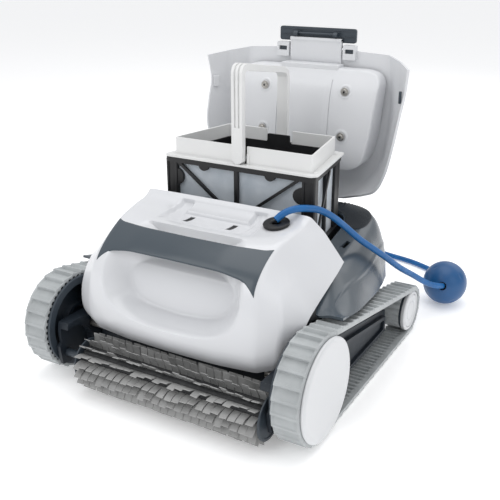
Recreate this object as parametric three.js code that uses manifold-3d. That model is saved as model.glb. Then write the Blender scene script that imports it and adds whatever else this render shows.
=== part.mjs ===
// Tracked pool-cleaning robot, shown open: lid up, filter basket lifted, cable and float laid out.
// Millimetres, +Z up, front towards -Y. The origin is under the middle of the robot, on the floor.
import * as THREE from 'three';
import { mergeVertices } from 'three/addons/utils/BufferGeometryUtils.js';
import Module from 'manifold-3d';

const wasm = await Module();
wasm.setup();

// ---------- driving dimensions ----------
const GAP = 0.3;                                   // clearance between pieces that touch
const WALL = 3;                                    // moulded wall thickness
const BELT = { inner: 149, outer: 180, thick: 6.7 };
const FRONT = { y: -136.5, z: 61, r: 61 };         // front wheel axle and belt outer radius
const REAR = { y: 141, z: 34, r: 34 };             // rear idler axle and belt outer radius
const BRUSH = { y: -171.5, z: 34, r: 32.8, left: -103, right: 134 };  // sits off centre, nearer the right
const CAP_FACE = 185;                              // outer face of the wheel caps
const FRAME = { inner: 128, arm: 138.5, outer: 143 };  // side frame plates, thin beside the brush
const HINGE = { y: 158, z: 147 };                  // lid hinge axis, parallel to X
const BASKET = { flange: 242, top: 265.4, base: 140 };  // shown lifted 120 above its seat
const HANDLE = { pivotZ: 252, top: 361, leg: 15 };
const PUMP = { y: 146, r: 26 };                    // pump axis, behind the basket well
const GLAND = { x: 79, y: -55.5, z: 199.4, r: 15 };  // cable exit on the deck
const DECK_TILT = 10;                              // degrees that the deck slopes down to the front
const CABLE = { r: 4 };                            // 12 m long, most of it in the coil
const FLOAT = { x: 189, y: 262, r: 31, hole: 6 };
const COIL = { x: -60, y: 333, mid: 72, halfWide: 22, high: 41 };

// ---------- materials ----------
function finish(color, roughness, metalness = 0) {
  return new THREE.MeshStandardMaterial({ color, roughness, metalness });
}
const WHITE = finish(0xdfe1e6, 0.35);
const IVORY = finish(0xe6e6e4, 0.45);
const SLATE = finish(0x4c5660, 0.4);
const NAVY = finish(0x1d2731, 0.45);
const BLACK = finish(0x16181a, 0.4);
const RUBBER = finish(0xa9aeae, 0.7);
const BRISTLE = finish(0x98989a, 0.65);
const MESH = finish(0xc3cdd6, 0.6);
const BLUE = finish(0x0a62b4, 0.45);
const STEEL = finish(0xb9bcc0, 0.3, 0.9);

const assembly = new THREE.Group();

function toSolid(geometry) {
  const plain = geometry.clone();
  plain.deleteAttribute('normal');
  plain.deleteAttribute('uv');
  const merged = mergeVertices(plain, 1e-4);
  const vertProperties = new Float32Array(merged.attributes.position.array);
  const triVerts = new Uint32Array(merged.index.array);
  const solid = new wasm.Manifold(new wasm.Mesh({ numProp: 3, vertProperties, triVerts }));
  if (solid.volume() > 0) return solid;
  triVerts.reverse();
  return new wasm.Manifold(new wasm.Mesh({ numProp: 3, vertProperties, triVerts }));
}

function toGeometry(solid) {
  const mesh = solid.getMesh();
  const geometry = new THREE.BufferGeometry();
  geometry.setAttribute('position', new THREE.BufferAttribute(mesh.vertProperties, 3));
  geometry.setIndex(new THREE.BufferAttribute(mesh.triVerts, 1));
  geometry.computeVertexNormals();
  return geometry;
}

function piece(name, shape, material) {
  const geometry = shape.isBufferGeometry ? shape : toGeometry(shape);
  const mesh = new THREE.Mesh(geometry, material);
  mesh.name = name;
  assembly.add(mesh);
}

function cut(base, ...tools) {
  return tools.reduce((solid, tool) => solid.subtract(tool), base);
}

function join(base, ...others) {
  return others.reduce((solid, other) => solid.add(other), base);
}

// ---------- shape helpers ----------
function outline(points, holes = []) {
  const shape = new THREE.Shape(points.map(([a, b]) => new THREE.Vector2(a, b)));
  shape.holes = holes.map((hole) => new THREE.Path(hole.map(([a, b]) => new THREE.Vector2(a, b))));
  return shape;
}

// A (y, z) outline drawn out along X from x0 to x1.
function extrudeX(points, x0, x1, holes) {
  const options = { depth: x1 - x0, bevelEnabled: false };
  const geometry = new THREE.ExtrudeGeometry(outline(points, holes), options);
  const X = new THREE.Vector3(1, 0, 0);
  const Y = new THREE.Vector3(0, 1, 0);
  const Z = new THREE.Vector3(0, 0, 1);
  geometry.applyMatrix4(new THREE.Matrix4().makeBasis(Y, Z, X));
  return toSolid(geometry.translate(x0, 0, 0));
}

// An (x, z) outline drawn out along Y from y0 to y1.
function extrudeY(points, y0, y1, holes) {
  const options = { depth: y1 - y0, bevelEnabled: false };
  const geometry = new THREE.ExtrudeGeometry(outline(points, holes), options);
  return toSolid(geometry.rotateX(Math.PI / 2).translate(0, y1, 0));
}

// An (x, y) outline drawn out along Z from z0 to z1.
function extrudeZ(points, z0, z1, holes) {
  const options = { depth: z1 - z0, bevelEnabled: false };
  const geometry = new THREE.ExtrudeGeometry(outline(points, holes), options);
  return toSolid(geometry.translate(0, 0, z0));
}

function box(x0, x1, y0, y1, z0, z1) {
  const geometry = new THREE.BoxGeometry(x1 - x0, y1 - y0, z1 - z0);
  return toSolid(geometry.translate((x0 + x1) / 2, (y0 + y1) / 2, (z0 + z1) / 2));
}

// A closed profile of [radius, height] turned about Y, then laid along the wanted axis.
function turned(profile, segments, axis, x, y, z) {
  const points = profile.map(([r, h]) => new THREE.Vector2(r, h));
  const geometry = new THREE.LatheGeometry(points, segments);
  if (axis === 'x') geometry.rotateZ(-Math.PI / 2);
  if (axis === 'z') geometry.rotateX(Math.PI / 2);
  return toSolid(geometry.translate(x, y, z));
}

function rod(axis, r, from, to, a, b, segments = 16) {
  const profile = [[0, from], [r, from], [r, to], [0, to]];
  if (axis === 'x') return turned(profile, segments, 'x', 0, a, b);
  if (axis === 'y') return turned(profile, segments, 'y', a, 0, b);
  return turned(profile, segments, 'z', a, b, 0);
}

function tube(axis, r, hole, from, to, a, b, segments = 24) {
  const profile = [[hole, from], [r, from], [r, to], [hole, to], [hole, from]];
  if (axis === 'x') return turned(profile, segments, 'x', 0, a, b);
  if (axis === 'y') return turned(profile, segments, 'y', a, 0, b);
  return turned(profile, segments, 'z', a, b, 0);
}

// Outline round two circles, as a tight belt round two pulleys, grown by `grow`.
function beltLoop(grow, steps = 20) {
  const span = Math.hypot(REAR.y - FRONT.y, REAR.z - FRONT.z);
  const along = Math.atan2(REAR.z - FRONT.z, REAR.y - FRONT.y);
  const lean = Math.acos((FRONT.r - REAR.r) / span);
  const points = [];
  for (let i = 0; i <= steps; i += 1) {
    const a = along + lean + (i / steps) * (2 * Math.PI - 2 * lean);
    const r = FRONT.r + grow;
    points.push([FRONT.y + r * Math.cos(a), FRONT.z + r * Math.sin(a)]);
  }
  for (let i = 0; i <= steps; i += 1) {
    const a = along - lean + (i / steps) * 2 * lean;
    const r = REAR.r + grow;
    points.push([REAR.y + r * Math.cos(a), REAR.z + r * Math.sin(a)]);
  }
  return points;
}

function roundedRect(x0, x1, y0, y1, r, steps = 4) {
  const corners = [[x1 - r, y1 - r, 0], [x0 + r, y1 - r, 1], [x0 + r, y0 + r, 2], [x1 - r, y0 + r, 3]];
  const points = [];
  for (const [cx, cy, quarter] of corners) {
    for (let i = 0; i <= steps; i += 1) {
      const a = (quarter + i / steps) * (Math.PI / 2);
      points.push([cx + r * Math.cos(a), cy + r * Math.sin(a)]);
    }
  }
  return points;
}

// Smooth curve through a column of stations, sampled evenly in parameter.
function smooth(points, count) {
  const curve = new THREE.CatmullRomCurve3(points, false, 'centripetal');
  return Array.from({ length: count }, (_, i) => curve.getPoint(i / (count - 1)));
}

// Straight runs between stations with each corner eased over a short stretch either side.
function creased(points, count, ease = 0.14) {
  const last = points.length - 1;
  const at = (u) => {
    const i = Math.min(Math.floor(u), last - 1);
    return points[i].clone().lerp(points[i + 1], u - i);
  };
  return Array.from({ length: count }, (_, c) => {
    const u = (c / (count - 1)) * last;
    const reach = Math.min(ease, u, last - u);
    const sum = new THREE.Vector3();
    for (const shift of [-1, -0.5, 0, 0.5, 1]) sum.add(at(u + shift * reach));
    return sum.divideScalar(5);
  });
}

// Resamples a table of stations both ways into a finer grid of points.
function refine(table, rows, columns, lay = smooth) {
  const across = table.map((row) => lay(row, columns));
  const grid = Array.from({ length: rows }, () => []);
  for (let c = 0; c < columns; c += 1) {
    const line = smooth(across.map((row) => row[c]), rows);
    line.forEach((point, r) => grid[r].push(point));
  }
  return grid;
}

function gridNormals(grid) {
  const rows = grid.length;
  const columns = grid[0].length;
  return grid.map((row, r) => row.map((_, c) => {
    const du = grid[r][Math.min(c + 1, columns - 1)].clone().sub(grid[r][Math.max(c - 1, 0)]);
    const dv = grid[Math.min(r + 1, rows - 1)][c].clone().sub(grid[Math.max(r - 1, 0)][c]);
    return du.cross(dv).normalize();
  }));
}

// A grid of points thickened towards the back of its faces into one closed shell.
function sheet(grid, thickness) {
  const rows = grid.length;
  const columns = grid[0].length;
  const normals = gridNormals(grid);
  const back = grid.map((row, r) => row.map((p, c) => p.clone().addScaledVector(normals[r][c], -thickness)));
  const vertices = [];
  for (const layer of [grid, back]) {
    for (const row of layer) for (const p of row) vertices.push(p.x, p.y, p.z);
  }
  const at = (layer, r, c) => layer * rows * columns + r * columns + c;
  const faces = [];
  const quad = (a, b, c, d) => faces.push(a, b, c, a, c, d);
  for (let r = 0; r < rows - 1; r += 1) {
    for (let c = 0; c < columns - 1; c += 1) {
      quad(at(0, r, c), at(0, r, c + 1), at(0, r + 1, c + 1), at(0, r + 1, c));
      quad(at(1, r, c), at(1, r + 1, c), at(1, r + 1, c + 1), at(1, r, c + 1));
    }
  }
  for (let c = 0; c < columns - 1; c += 1) {
    quad(at(0, 0, c), at(1, 0, c), at(1, 0, c + 1), at(0, 0, c + 1));
    quad(at(0, rows - 1, c), at(0, rows - 1, c + 1), at(1, rows - 1, c + 1), at(1, rows - 1, c));
  }
  for (let r = 0; r < rows - 1; r += 1) {
    quad(at(0, r, 0), at(0, r + 1, 0), at(1, r + 1, 0), at(1, r, 0));
    quad(at(0, r, columns - 1), at(1, r, columns - 1), at(1, r + 1, columns - 1), at(0, r + 1, columns - 1));
  }
  const geometry = new THREE.BufferGeometry();
  geometry.setAttribute('position', new THREE.Float32BufferAttribute(vertices, 3));
  geometry.setIndex(faces);
  return toSolid(geometry);
}

// Half a row of [x, y, z] stations, mirrored into a whole one from -X to +X.
function mirrored(half) {
  const right = half.map(([x, y, z]) => new THREE.Vector3(x, y, z));
  const left = half.slice(1).reverse().map(([x, y, z]) => new THREE.Vector3(-x, y, z));
  return [...left, ...right];
}

function bothSides(make) {
  for (const [word, sign] of [['left', -1], ['right', 1]]) make(word, sign);
}

function flipX(solid, sign) {
  return sign > 0 ? solid : solid.mirror([1, 0, 0]);
}

// ---------- front hood and carry handle ----------
// Rows run from the front lip, up the face, over the deck, to the ridge in front of the basket.
const HOOD_ROWS = [
  [[0, -156, 64.6], [60, -154.5, 64.6], [103, -148, 65], [121, -141, 71], [133, -131, 82]],
  [[0, -167, 84], [60, -164, 84], [105, -155, 83], [127, -143, 86], [139, -124, 94]],
  [[0, -165, 118], [60, -163, 118], [105, -153, 118], [128, -138, 113], [142, -117, 107]],
  [[0, -148, 168], [60, -147, 167], [103, -144, 157], [124, -125, 146], [143.5, -106, 119]],
  [[0, -114, 188.5], [60, -113, 188.5], [104, -105, 188], [118, -98, 165], [145, -86, 126]],
  [[0, -69, 192.5], [60, -69, 193], [107, -69, 197], [122, -62, 176], [145.5, -52, 139]],
  [[0, -42, 197.4], [60, -42, 197.4], [108, -45, 201], [123, -38, 184], [145, -30, 146]],
  [[0, -33, 206], [60, -33, 206], [110, -34, 206], [124, -26, 188], [144.5, -15, 152]],
];

const HOOD_WALL = 4.5;

function hoodGrid() {
  return refine(HOOD_ROWS.map(mirrored), 22, 25, creased);
}

// Depth of the hand scoop in the face, as a soft-edged bowl that runs up behind the handle.
function scoopDepth(point) {
  const u = point.x / 92;
  const v = (point.z - 142) / (point.z > 142 ? 58 : 46);
  const spread = u ** 4 + v ** 2;
  return spread >= 1 || point.y > -106 ? 0 : 30 * (1 - spread) ** 0.7;
}

// Part of the hood's surface between the creases, where the handle lies, raised by `lift`.
function handleGrid(margin, lift) {
  const whole = refine(HOOD_ROWS.map(mirrored), 71, 81, creased);
  const low = 30;
  const high = 40;
  const rows = whole.slice(low - margin, high + margin + 1);
  const grid = rows.map((row) => row.filter((_, c) => c >= 20 - margin && c <= 60 + margin && c % 2 === 0));
  const normals = gridNormals(grid);
  return grid.map((row, r) => row.map((p, c) => p.clone().addScaledVector(normals[r][c], lift)));
}

// Sets a solid made at the origin onto the sloping deck, where the cable comes out.
function onDeck(solid) {
  return solid.rotate([DECK_TILT, 0, 0]).translate([GLAND.x, GLAND.y, GLAND.z]);
}

function frontHood() {
  const grid = hoodGrid();
  const normals = gridNormals(grid);
  const dished = grid.map((row, r) => row.map((p, c) => (
    p.clone().addScaledVector(normals[r][c], -scoopDepth(p)))));
  const slots = [-29, 29].map((x) => box(x - 2.5, x + 2.5, -77, -62, 180, 210));
  const bore = onDeck(rod('z', GLAND.r - 3, -25, 20, 0, 0));
  const seat = sheet(handleGrid(0, 8), 11);
  piece('front_hood', largest(cut(sheet(dished, HOOD_WALL), ...slots, bore, seat)), WHITE);
}

// The handle lies flush in the hood between the face and the deck, bridging the scoop.
function carryHandle() {
  piece('carry_handle', sheet(insetRows(handleGrid(0, 0.2)), 2.6), SLATE);
}

// Pulls the outer edge of a grid in by the assembly gap.
function insetRows(grid) {
  const last = grid.length - 1;
  const pull = (point, towards) => point.clone().add(towards.clone().sub(point).setLength(GAP + 0.1));
  return grid.map((row, r) => row.map((p, c) => {
    const inward = grid[Math.min(Math.max(r, 1), last - 1)][Math.min(Math.max(c, 1), row.length - 2)];
    return inward === p ? p : pull(p, inward);
  }));
}

// ---------- base, side frames, drive ----------
function baseTub() {
  const side = [[-124, 40], [-110, 14], [165, 14], [181, 34], [181, 112], [-100, 112], [-124, 80]];
  const inside = [[-121, 42], [-108, 17], [163, 17], [178, 36], [178, 115], [-99, 115], [-121, 79]];
  const plan = (w, y) => [[-w, -130], [w, -130], [w, 136], [w - 14, 156], [w - 46, y - 4], [-w + 46, y - 4],
    [-w + 14, 156], [-w, 136]];
  const outer = extrudeX(side, -126, 126).intersect(extrudeZ(plan(126, 180), 0, 200));
  const inner = extrudeX(inside, -123, 123).intersect(extrudeZ(plan(122.5, 176), 0, 200));
  const shell = outer.subtract(inner);
  const inlet = box(-42, 42, 26, 78, 10, 20);
  piece('base_tub', cut(shell, inlet), NAVY);
}

function sideFrame(word, sign) {
  const room = box(120, 150, -210, -104, 76, 130);
  const plate = extrudeX(beltLoop(-17), FRAME.inner, FRAME.outer).subtract(room);
  const arm = [[-181, 22], [-168, 20], [-130, 40], [-130, 75], [-150, 73], [-184, 46]];
  const bores = [
    rod('x', 6, 100, 160, FRONT.y, FRONT.z),
    rod('x', 4.5, 100, 160, REAR.y, REAR.z),
    rod('x', 7, 100, 160, BRUSH.y, BRUSH.z),
  ];
  const brushRoom = rod('x', BRUSH.r + 2.5, 120, FRAME.arm, BRUSH.y, BRUSH.z, 36);
  const solid = cut(cut(plate, brushRoom).add(extrudeX(arm, FRAME.arm, FRAME.outer)), ...bores);
  piece(`side_frame_${word}`, flipX(solid, sign), NAVY);
}

// Moulded cover that fills the belt loop between the wheels.
function sidePanel(word, sign) {
  const lower = [[-72, 12], [104, 12], [104, 46], [-72, 82]];
  const step = [[-62, 20], [94, 20], [94, 42], [-62, 70]];
  const solid = join(extrudeX(lower, FRAME.outer + GAP, 156), extrudeX(step, 155, 164));
  piece(`side_panel_${word}`, flipX(solid, sign), NAVY);
}

function trackBelt(word, sign) {
  const loop = extrudeX(beltLoop(0), BELT.inner, BELT.outer, [beltLoop(-BELT.thick)]);
  piece(`track_belt_${word}`, flipX(loop, sign), RUBBER);
}

function frontWheel(word, sign) {
  const rim = FRONT.r - BELT.thick - GAP;
  const bore = 5;
  const drum = turned([[bore, 150], [rim - 16, 150], [rim - 8, 158], [rim - 8, 151], [rim, 151], [rim, 179],
    [bore, 179], [bore, 150]], 28, 'x', 0, FRONT.y, FRONT.z);
  piece(`front_wheel_${word}`, flipX(drum, sign), NAVY);
  const flange = tube('x', rim + 2, 9, 145, 148.4, FRONT.y, FRONT.z, 28);
  piece(`wheel_flange_${word}`, flipX(flange, sign), SLATE);
  const cap = turned([[0, 179.3], [rim, 179.3], [rim, 180.3], [rim + 2.5, 180.3], [rim + 2.8, 183],
    [rim, CAP_FACE], [0, CAP_FACE]], 32, 'x', 0, FRONT.y, FRONT.z);
  piece(`wheel_cap_${word}`, flipX(cap, sign), WHITE);
  const shaft = rod('x', bore - GAP, 112, 178.8, FRONT.y, FRONT.z);
  piece(`drive_shaft_${word}`, flipX(shaft, sign), STEEL);
}

function rearWheel(word, sign) {
  const rim = REAR.r - BELT.thick - GAP;
  const drum = tube('x', rim - 1, 4, 148, 173.5, REAR.y, REAR.z, 36);
  piece(`rear_wheel_${word}`, flipX(drum, sign), RUBBER);
  const cap = turned([[0, 173.8], [rim, 173.8], [rim, 178.5], [rim - 2, 180], [0, 180]],
    36, 'x', 0, REAR.y, REAR.z);
  piece(`rear_cap_${word}`, flipX(cap, sign), WHITE);
  const axle = rod('x', 3.6, 126.5, 173.2, REAR.y, REAR.z);
  piece(`rear_axle_${word}`, flipX(axle, sign), STEEL);
}

// ---------- brush ----------
function brush() {
  const fins = 16;
  const star = [];
  for (let i = 0; i < fins; i += 1) {
    const a = (i / fins) * 2 * Math.PI;
    for (const [r, turn] of [[21, -0.14], [BRUSH.r, -0.03], [BRUSH.r, 0], [BRUSH.r, 0.03], [21, 0.14]]) {
      star.push([BRUSH.y + r * Math.cos(a + turn), BRUSH.z + r * Math.sin(a + turn)]);
    }
  }
  const sleeve = extrudeX(star, BRUSH.left, BRUSH.right);
  piece('brush_sleeve', sleeve.subtract(rod('x', 17.3, -140, 140, BRUSH.y, BRUSH.z)), BRISTLE);
  piece('brush_core', tube('x', 17, 6, BRUSH.left, BRUSH.right, BRUSH.y, BRUSH.z), NAVY);
  bothSides((word, sign) => {
    const end = sign > 0 ? BRUSH.right : -BRUSH.left;
    const disc = join(
      rod('x', 26, end + GAP, end + 3.1, BRUSH.y, BRUSH.z, 32),
      rod('x', 4.5, end + 2, 140, BRUSH.y, BRUSH.z),
      rod('x', 5.6, end - 12, end + 1, BRUSH.y, BRUSH.z),
    );
    piece(`brush_end_${word}`, flipX(disc, sign), SLATE);
    const bush = tube('x', 7 - GAP, 4.5 + GAP, FRAME.arm, 143, BRUSH.y, BRUSH.z, 24);
    piece(`brush_bush_${word}`, flipX(bush, sign), IVORY);
  });
}

// ---------- motors and pump ----------
function motors() {
  const housing = rod('x', 34, -88, 88, -74, 62, 32).add(box(-70, 70, -94, -54, 17.3, 40));
  piece('drive_motor_housing', housing, BLACK);
  piece('pump_motor', rod('z', 16, 17.3, 90, 0, PUMP.y, 28), BLACK);
  piece('impeller_duct', tube('z', PUMP.r, PUMP.r - 2, 94, 132, 0, PUMP.y, 36), NAVY);
  const hub = rod('z', 6, 102, 126, 0, PUMP.y, 20);
  const blades = [0, 1, 2, 3].map((i) => box(4, PUMP.r - 4, -1.2, 1.2, 105, 123)
    .rotate([0, 0, 90 * i]).translate([0, PUMP.y, 0]));
  piece('impeller', join(hub, ...blades), IVORY);
}

// ---------- rear cover ----------
// Columns run from the right front, round the back, to the left front; rows from skirt to well edge.
const COVER_SKIRT = [[178, -90, 122], [177, -50, 112], [170, 0, 102], [161, 55, 91], [150, 108, 84],
  [133, 155, 74], [84, 186, 62], [0, 193, 56]];
const COVER_FLANK = [[162, -92, 122], [156, -34, 126], [153, 4, 122], [147, 57, 115], [139, 112, 115],
  [126, 163, 112], [80, 190, 108], [0, 197, 106]];
const COVER_SHOULDER = [[152, -93, 119.5], [136, -30, 139], [130, 2, 140], [127, 55, 141], [121, 108, 146],
  [109, 158, 152], [66, 182, 152], [0, 186, 152]];
const COVER_RIM = [[147.5, -92, 119], [114, -28, 141], [106.5, 2, 145], [99.5, 52, 149], [93, 100, 153],
  [80, 126, 157], [46, 140, 158], [0, 143, 158]];

function wrapped(half) {
  const right = half.map(([x, y, z]) => new THREE.Vector3(x, y, z));
  const left = half.slice(0, -1).reverse().map(([x, y, z]) => new THREE.Vector3(-x, y, z));
  return [...right, ...left];
}

function rearCover() {
  const rows = [COVER_SKIRT, COVER_FLANK, COVER_SHOULDER, COVER_RIM].map(wrapped);
  const shell = sheet(refine(rows, 7, 29), WALL);
  const hingeBay = box(-42, 42, 140, 170, 120, 175);
  const louvres = [-92, -74, -56, 56, 74, 92].map((x) => box(x - 4, x + 4, 150, 176, 140, 170));
  const hooks = [-124, 124].map((x) => box(x - 4, x + 4, 42, 56, 130, 165));
  piece('rear_cover', largest(cut(shell, hingeBay, ...louvres, ...hooks)), SLATE);
  const bridge = box(-41.5, 41.5, 141, 169, 132, 135);
  const ears = [-20, 20].map((x) => join(box(x - 4, x + 4, 150, 166, 134.5, HINGE.z),
    rod('x', 8, x - 4, x + 4, HINGE.y, HINGE.z)));
  const bracket = cut(join(bridge, ...ears), rod('x', 3.2, -60, 60, HINGE.y, HINGE.z));
  piece('hinge_bracket', bracket, NAVY);
  piece('hinge_pin', rod('x', 3, -36, 36, HINGE.y, HINGE.z, 16), STEEL);
}

function largest(solid) {
  return solid.decompose().sort((a, b) => b.volume() - a.volume())[0];
}

// ---------- lid, upright and open ----------
// Rows run from the front edge, now on top, down to the hinge end.
const LID_ROWS = [
  [[0, 206.4, 357.5], [60, 206.4, 356.5], [104, 207.8, 354], [128, 185, 349.5], [147, 158, 344.5]],
  [[0, 208, 314], [60, 208, 314], [108, 207, 314], [130, 184, 313], [143.5, 161, 312]],
  [[0, 208, 284], [60, 208, 284], [110, 206, 283], [131, 179, 283], [142, 151, 285]],
  [[0, 207.8, 250], [60, 207.8, 250], [108, 204, 249], [129, 173, 249], [139.5, 142, 253]],
  [[0, 206, 214], [58, 206, 214], [102, 200, 213], [119, 174, 211], [128, 147, 209]],
  [[0, 200, 186], [52, 199, 186], [86, 191, 186], [103, 173, 184], [112, 157, 183]],
  [[0, 185, 157], [42, 183, 158], [62, 176, 162], [78, 169, 168], [92, 163, 173]],
];

function lidShell() {
  const shell = sheet(refine(LID_ROWS.map(mirrored), 13, 17, creased), WALL);
  const lipSide = [[199, 371], [199, 349], [204.6, 326], [206, 326], [206, 350], [202.2, 353], [202.2, 371]];
  const lip = extrudeX(lipSide, -37.5, 37.5);
  const pockets = [-49, 49].map((x) => box(x - 8.5, x + 8.5, 198.5, 206.5, 345, 363.5)
    .subtract(box(x - 6, x + 6, 190, 203, 353, 359)));
  const slots = [-1, 1].map((s) => box(-1.2, 1.2, -16, 16, -8, 8)
    .rotate([0, 0, s * 25]).translate([s * 137, 164, 310]));
  const arms = [-30, 30].map((x) => join(
    extrudeX([[150, 139.5], [166, 139.5], [168, 152], [184, 168], [176, 174], [150, 154]], x - 4, x + 4),
    rod('x', 8, x - 4, x + 4, HINGE.y, HINGE.z),
  ));
  const pinBore = rod('x', 3.2, -60, 60, HINGE.y, HINGE.z);
  const solid = cut(join(shell, lip, ...pockets, ...arms), pinBore, ...slots);
  piece('lid_shell', largest(solid), WHITE);
  return shell;
}

// The raised inner panel that presses on the basket when the lid is shut: its outline as
// half a ring of (x, z), and how far forward its face stands at each height, as (z, y).
const LINER_EDGE = [[0, 204], [50, 204], [72, 206.5], [84, 213.5], [90, 224], [96.5, 251], [102, 309],
  [102, 321], [97, 330], [86, 334.5], [0, 337]];
const LINER_FACE = [[190, 176], [211, 162], [251, 160.5], [309, 168], [330, 179], [350, 192]];

const SCREWS = [[-59, 168.7, 309], [59, 168.7, 309], [-59, 161.1, 251], [59, 161.1, 251]];

function linerFace(depth) {
  const spine = smooth(LINER_FACE.map(([z, y]) => new THREE.Vector3(0, y, z)), 15);
  const columns = Array.from({ length: 13 }, (_, c) => -108 + 18 * c);
  const grid = spine.map((p) => columns.map((x) => new THREE.Vector3(x, p.y + 3 * (x / 100) ** 4, p.z)));
  return sheet(grid, depth);
}

function lidLiner(shell) {
  const half = LINER_EDGE.slice(1, -1);
  const edge = [...LINER_EDGE, ...half.reverse().map(([x, z]) => [-x, z])];
  const inset = edge.map(([x, z]) => [x * 0.975, 270 + (z - 270) * 0.965]);
  const face = extrudeY(edge, 140, 215).intersect(linerFace(2.5));
  const wall = extrudeY(edge, 140, 200.8, [inset]).intersect(linerFace(60));
  const tongue = box(-42, 42, 181, 200.8, 334, 339.5);
  const panel = join(face, wall, tongue);
  const holes = SCREWS.map(([x, y, z]) => rod('y', 2.2, y - 12, y + 12, x, z, 12));
  const clear = [0, -0.5, -1].map((y) => shell.translate([0, y, 0]));
  piece('lid_liner', largest(cut(panel, ...holes, ...clear)), WHITE);
  SCREWS.forEach(([x, y, z], i) => {
    const screw = join(rod('y', 5.4, y - 4.2, y - 1.8, x, z, 20), rod('y', 1.9, y - 2, y + 24, x, z, 12));
    piece(`liner_screw_${i + 1}`, screw, STEEL);
  });
}

function lidLatch() {
  const blade = [[203, 366], [207.8, 366], [208.2, 384.5], [204.2, 384.5]];
  const spine = [[203, 360.5], [204.6, 358.5], [207.6, 358.5], [207.6, 367], [203, 367]];
  const hooks = [-29, 29].map((x) => box(x - 3, x + 3, 195, 205, 373, 378));
  const flap = join(extrudeX(blade, -56, 56), extrudeX(spine, -36, 36), ...hooks);
  piece('latch_flap', flap.subtract(rod('x', 1.6, -60, 60, 205.3, 361)), SLATE);
  const pin = rod('x', 1.3, -39.5, 39.5, 205.3, 361, 12);
  piece('latch_pin', pin, STEEL);
}

// ---------- filter basket, lifted ----------
const PLAN = { front: 94.6, back: 77.3, y0: 0, y1: 101.4 };

// The basket's tapered plan, grown outward by `grow` on every side.
function taper(grow) {
  const front = PLAN.front + grow;
  const back = PLAN.back + grow;
  return [[-front, PLAN.y0 - grow], [front, PLAN.y0 - grow], [back, PLAN.y1 + grow], [-back, PLAN.y1 + grow]];
}

function basketCollar() {
  const plan = [[-102, -8.5], [96.5, -8.5], [103, -2], [86.5, 110], [-87.5, 110], [-106.5, -4]];
  const flange = extrudeZ(plan, BASKET.flange, BASKET.flange + 2.4, [taper(-2.5)]);
  const wall = extrudeZ(taper(0), BASKET.flange + 1, BASKET.top, [taper(-2.5)]);
  const gap = box(-9, 9, -3, 4, BASKET.flange + 2.4, 280);
  const notch = box(-15, 15, 96, 104, 252, 280);
  const frontEar = box(-5, 5, 0.2, 2.5, BASKET.flange, HANDLE.pivotZ + 5);
  const rearEar = box(-5, 5, 99.5, 103.8, BASKET.flange, HANDLE.pivotZ + 5);
  const studs = [rod('y', 2, -8, 1, 0, HANDLE.pivotZ, 16), rod('y', 2, 102, 111.5, 0, HANDLE.pivotZ, 16)];
  const open = cut(join(flange, wall), gap, notch);
  piece('basket_collar', join(open, frontEar, rearEar, ...studs), IVORY);
}

function basketFrame() {
  const top = BASKET.flange - GAP;
  const ring = extrudeZ(taper(6), BASKET.base, top, [taper(1)]);
  const windows = [];
  for (const s of [-1, 1]) {
    windows.push(box(s * 46.5 - 42, s * 46.5 + 42, -10, 3, 150, 233));
    windows.push(box(s * 37 - 33, s * 37 + 33, 98, 112, 150, 233));
    windows.push(box(s * 94 - 20, s * 94 + 20, 8, 47, 150, 233));
    windows.push(box(s * 94 - 20, s * 94 + 20, 53, 93, 150, 233));
  }
  const braces = [-1, 1].map((s) => extrudeY(
    [[s * 87, 235], [s * 84, 239], [s * 2, 176], [s * 2, 171]], -5.5, -2.5,
  ));
  const tabs = [-47, 47].map((x) => rod('y', 6.5, -5.5, -2.5, x, 233, 20));
  piece('basket_frame', join(cut(ring, ...windows), ...braces, ...tabs), BLACK);
}

function basketMesh() {
  const z0 = 146;
  const z1 = 238;
  piece('mesh_front', box(-93, 93, -0.6, 0.4, z0, z1), MESH);
  piece('mesh_back', box(-75, 75, 101.2, 102, z0, z1), MESH);
  bothSides((word, sign) => {
    const plan = [[93.7, 3], [94.5, 3], [78.5, 98], [77.7, 98]];
    piece(`mesh_${word}`, flipX(extrudeZ(plan, z0, z1), sign), MESH);
  });
  const port = roundedRect(-38, 38, 24, 80, 6);
  const inner = [[-92, 2.4], [92, 2.4], [75.5, 99.4], [-75.5, 99.4]];
  const floor = extrudeZ(inner, BASKET.base, BASKET.base + 3, [port]);
  const rests = [-30, 30].map((x) => join(
    box(x - 3, x + 3, 80.5, 84, 142, 150),
    rod('x', 4, x - 3, x + 3, 84, 148),
  ));
  const bore = rod('x', 1.9, -50, 50, 84, 148, 12);
  piece('basket_floor', cut(join(floor, ...rests), bore), BLACK);
  const door = extrudeZ(roundedRect(-40, 40, 20, 79, 5), BASKET.base + 3.4, BASKET.base + 5.4);
  const knuckle = [-22, 22].map((x) => join(
    rod('x', 3.6, x - 4, x + 4, 84, 148, 16),
    box(x - 4, x + 4, 77, 84, 143.6, 147),
  ));
  piece('inlet_flap', cut(join(door, ...knuckle), bore), BLACK);
  piece('flap_pin', rod('x', 1.6, -33.5, 33.5, 84, 148, 12), STEEL);
}

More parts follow.
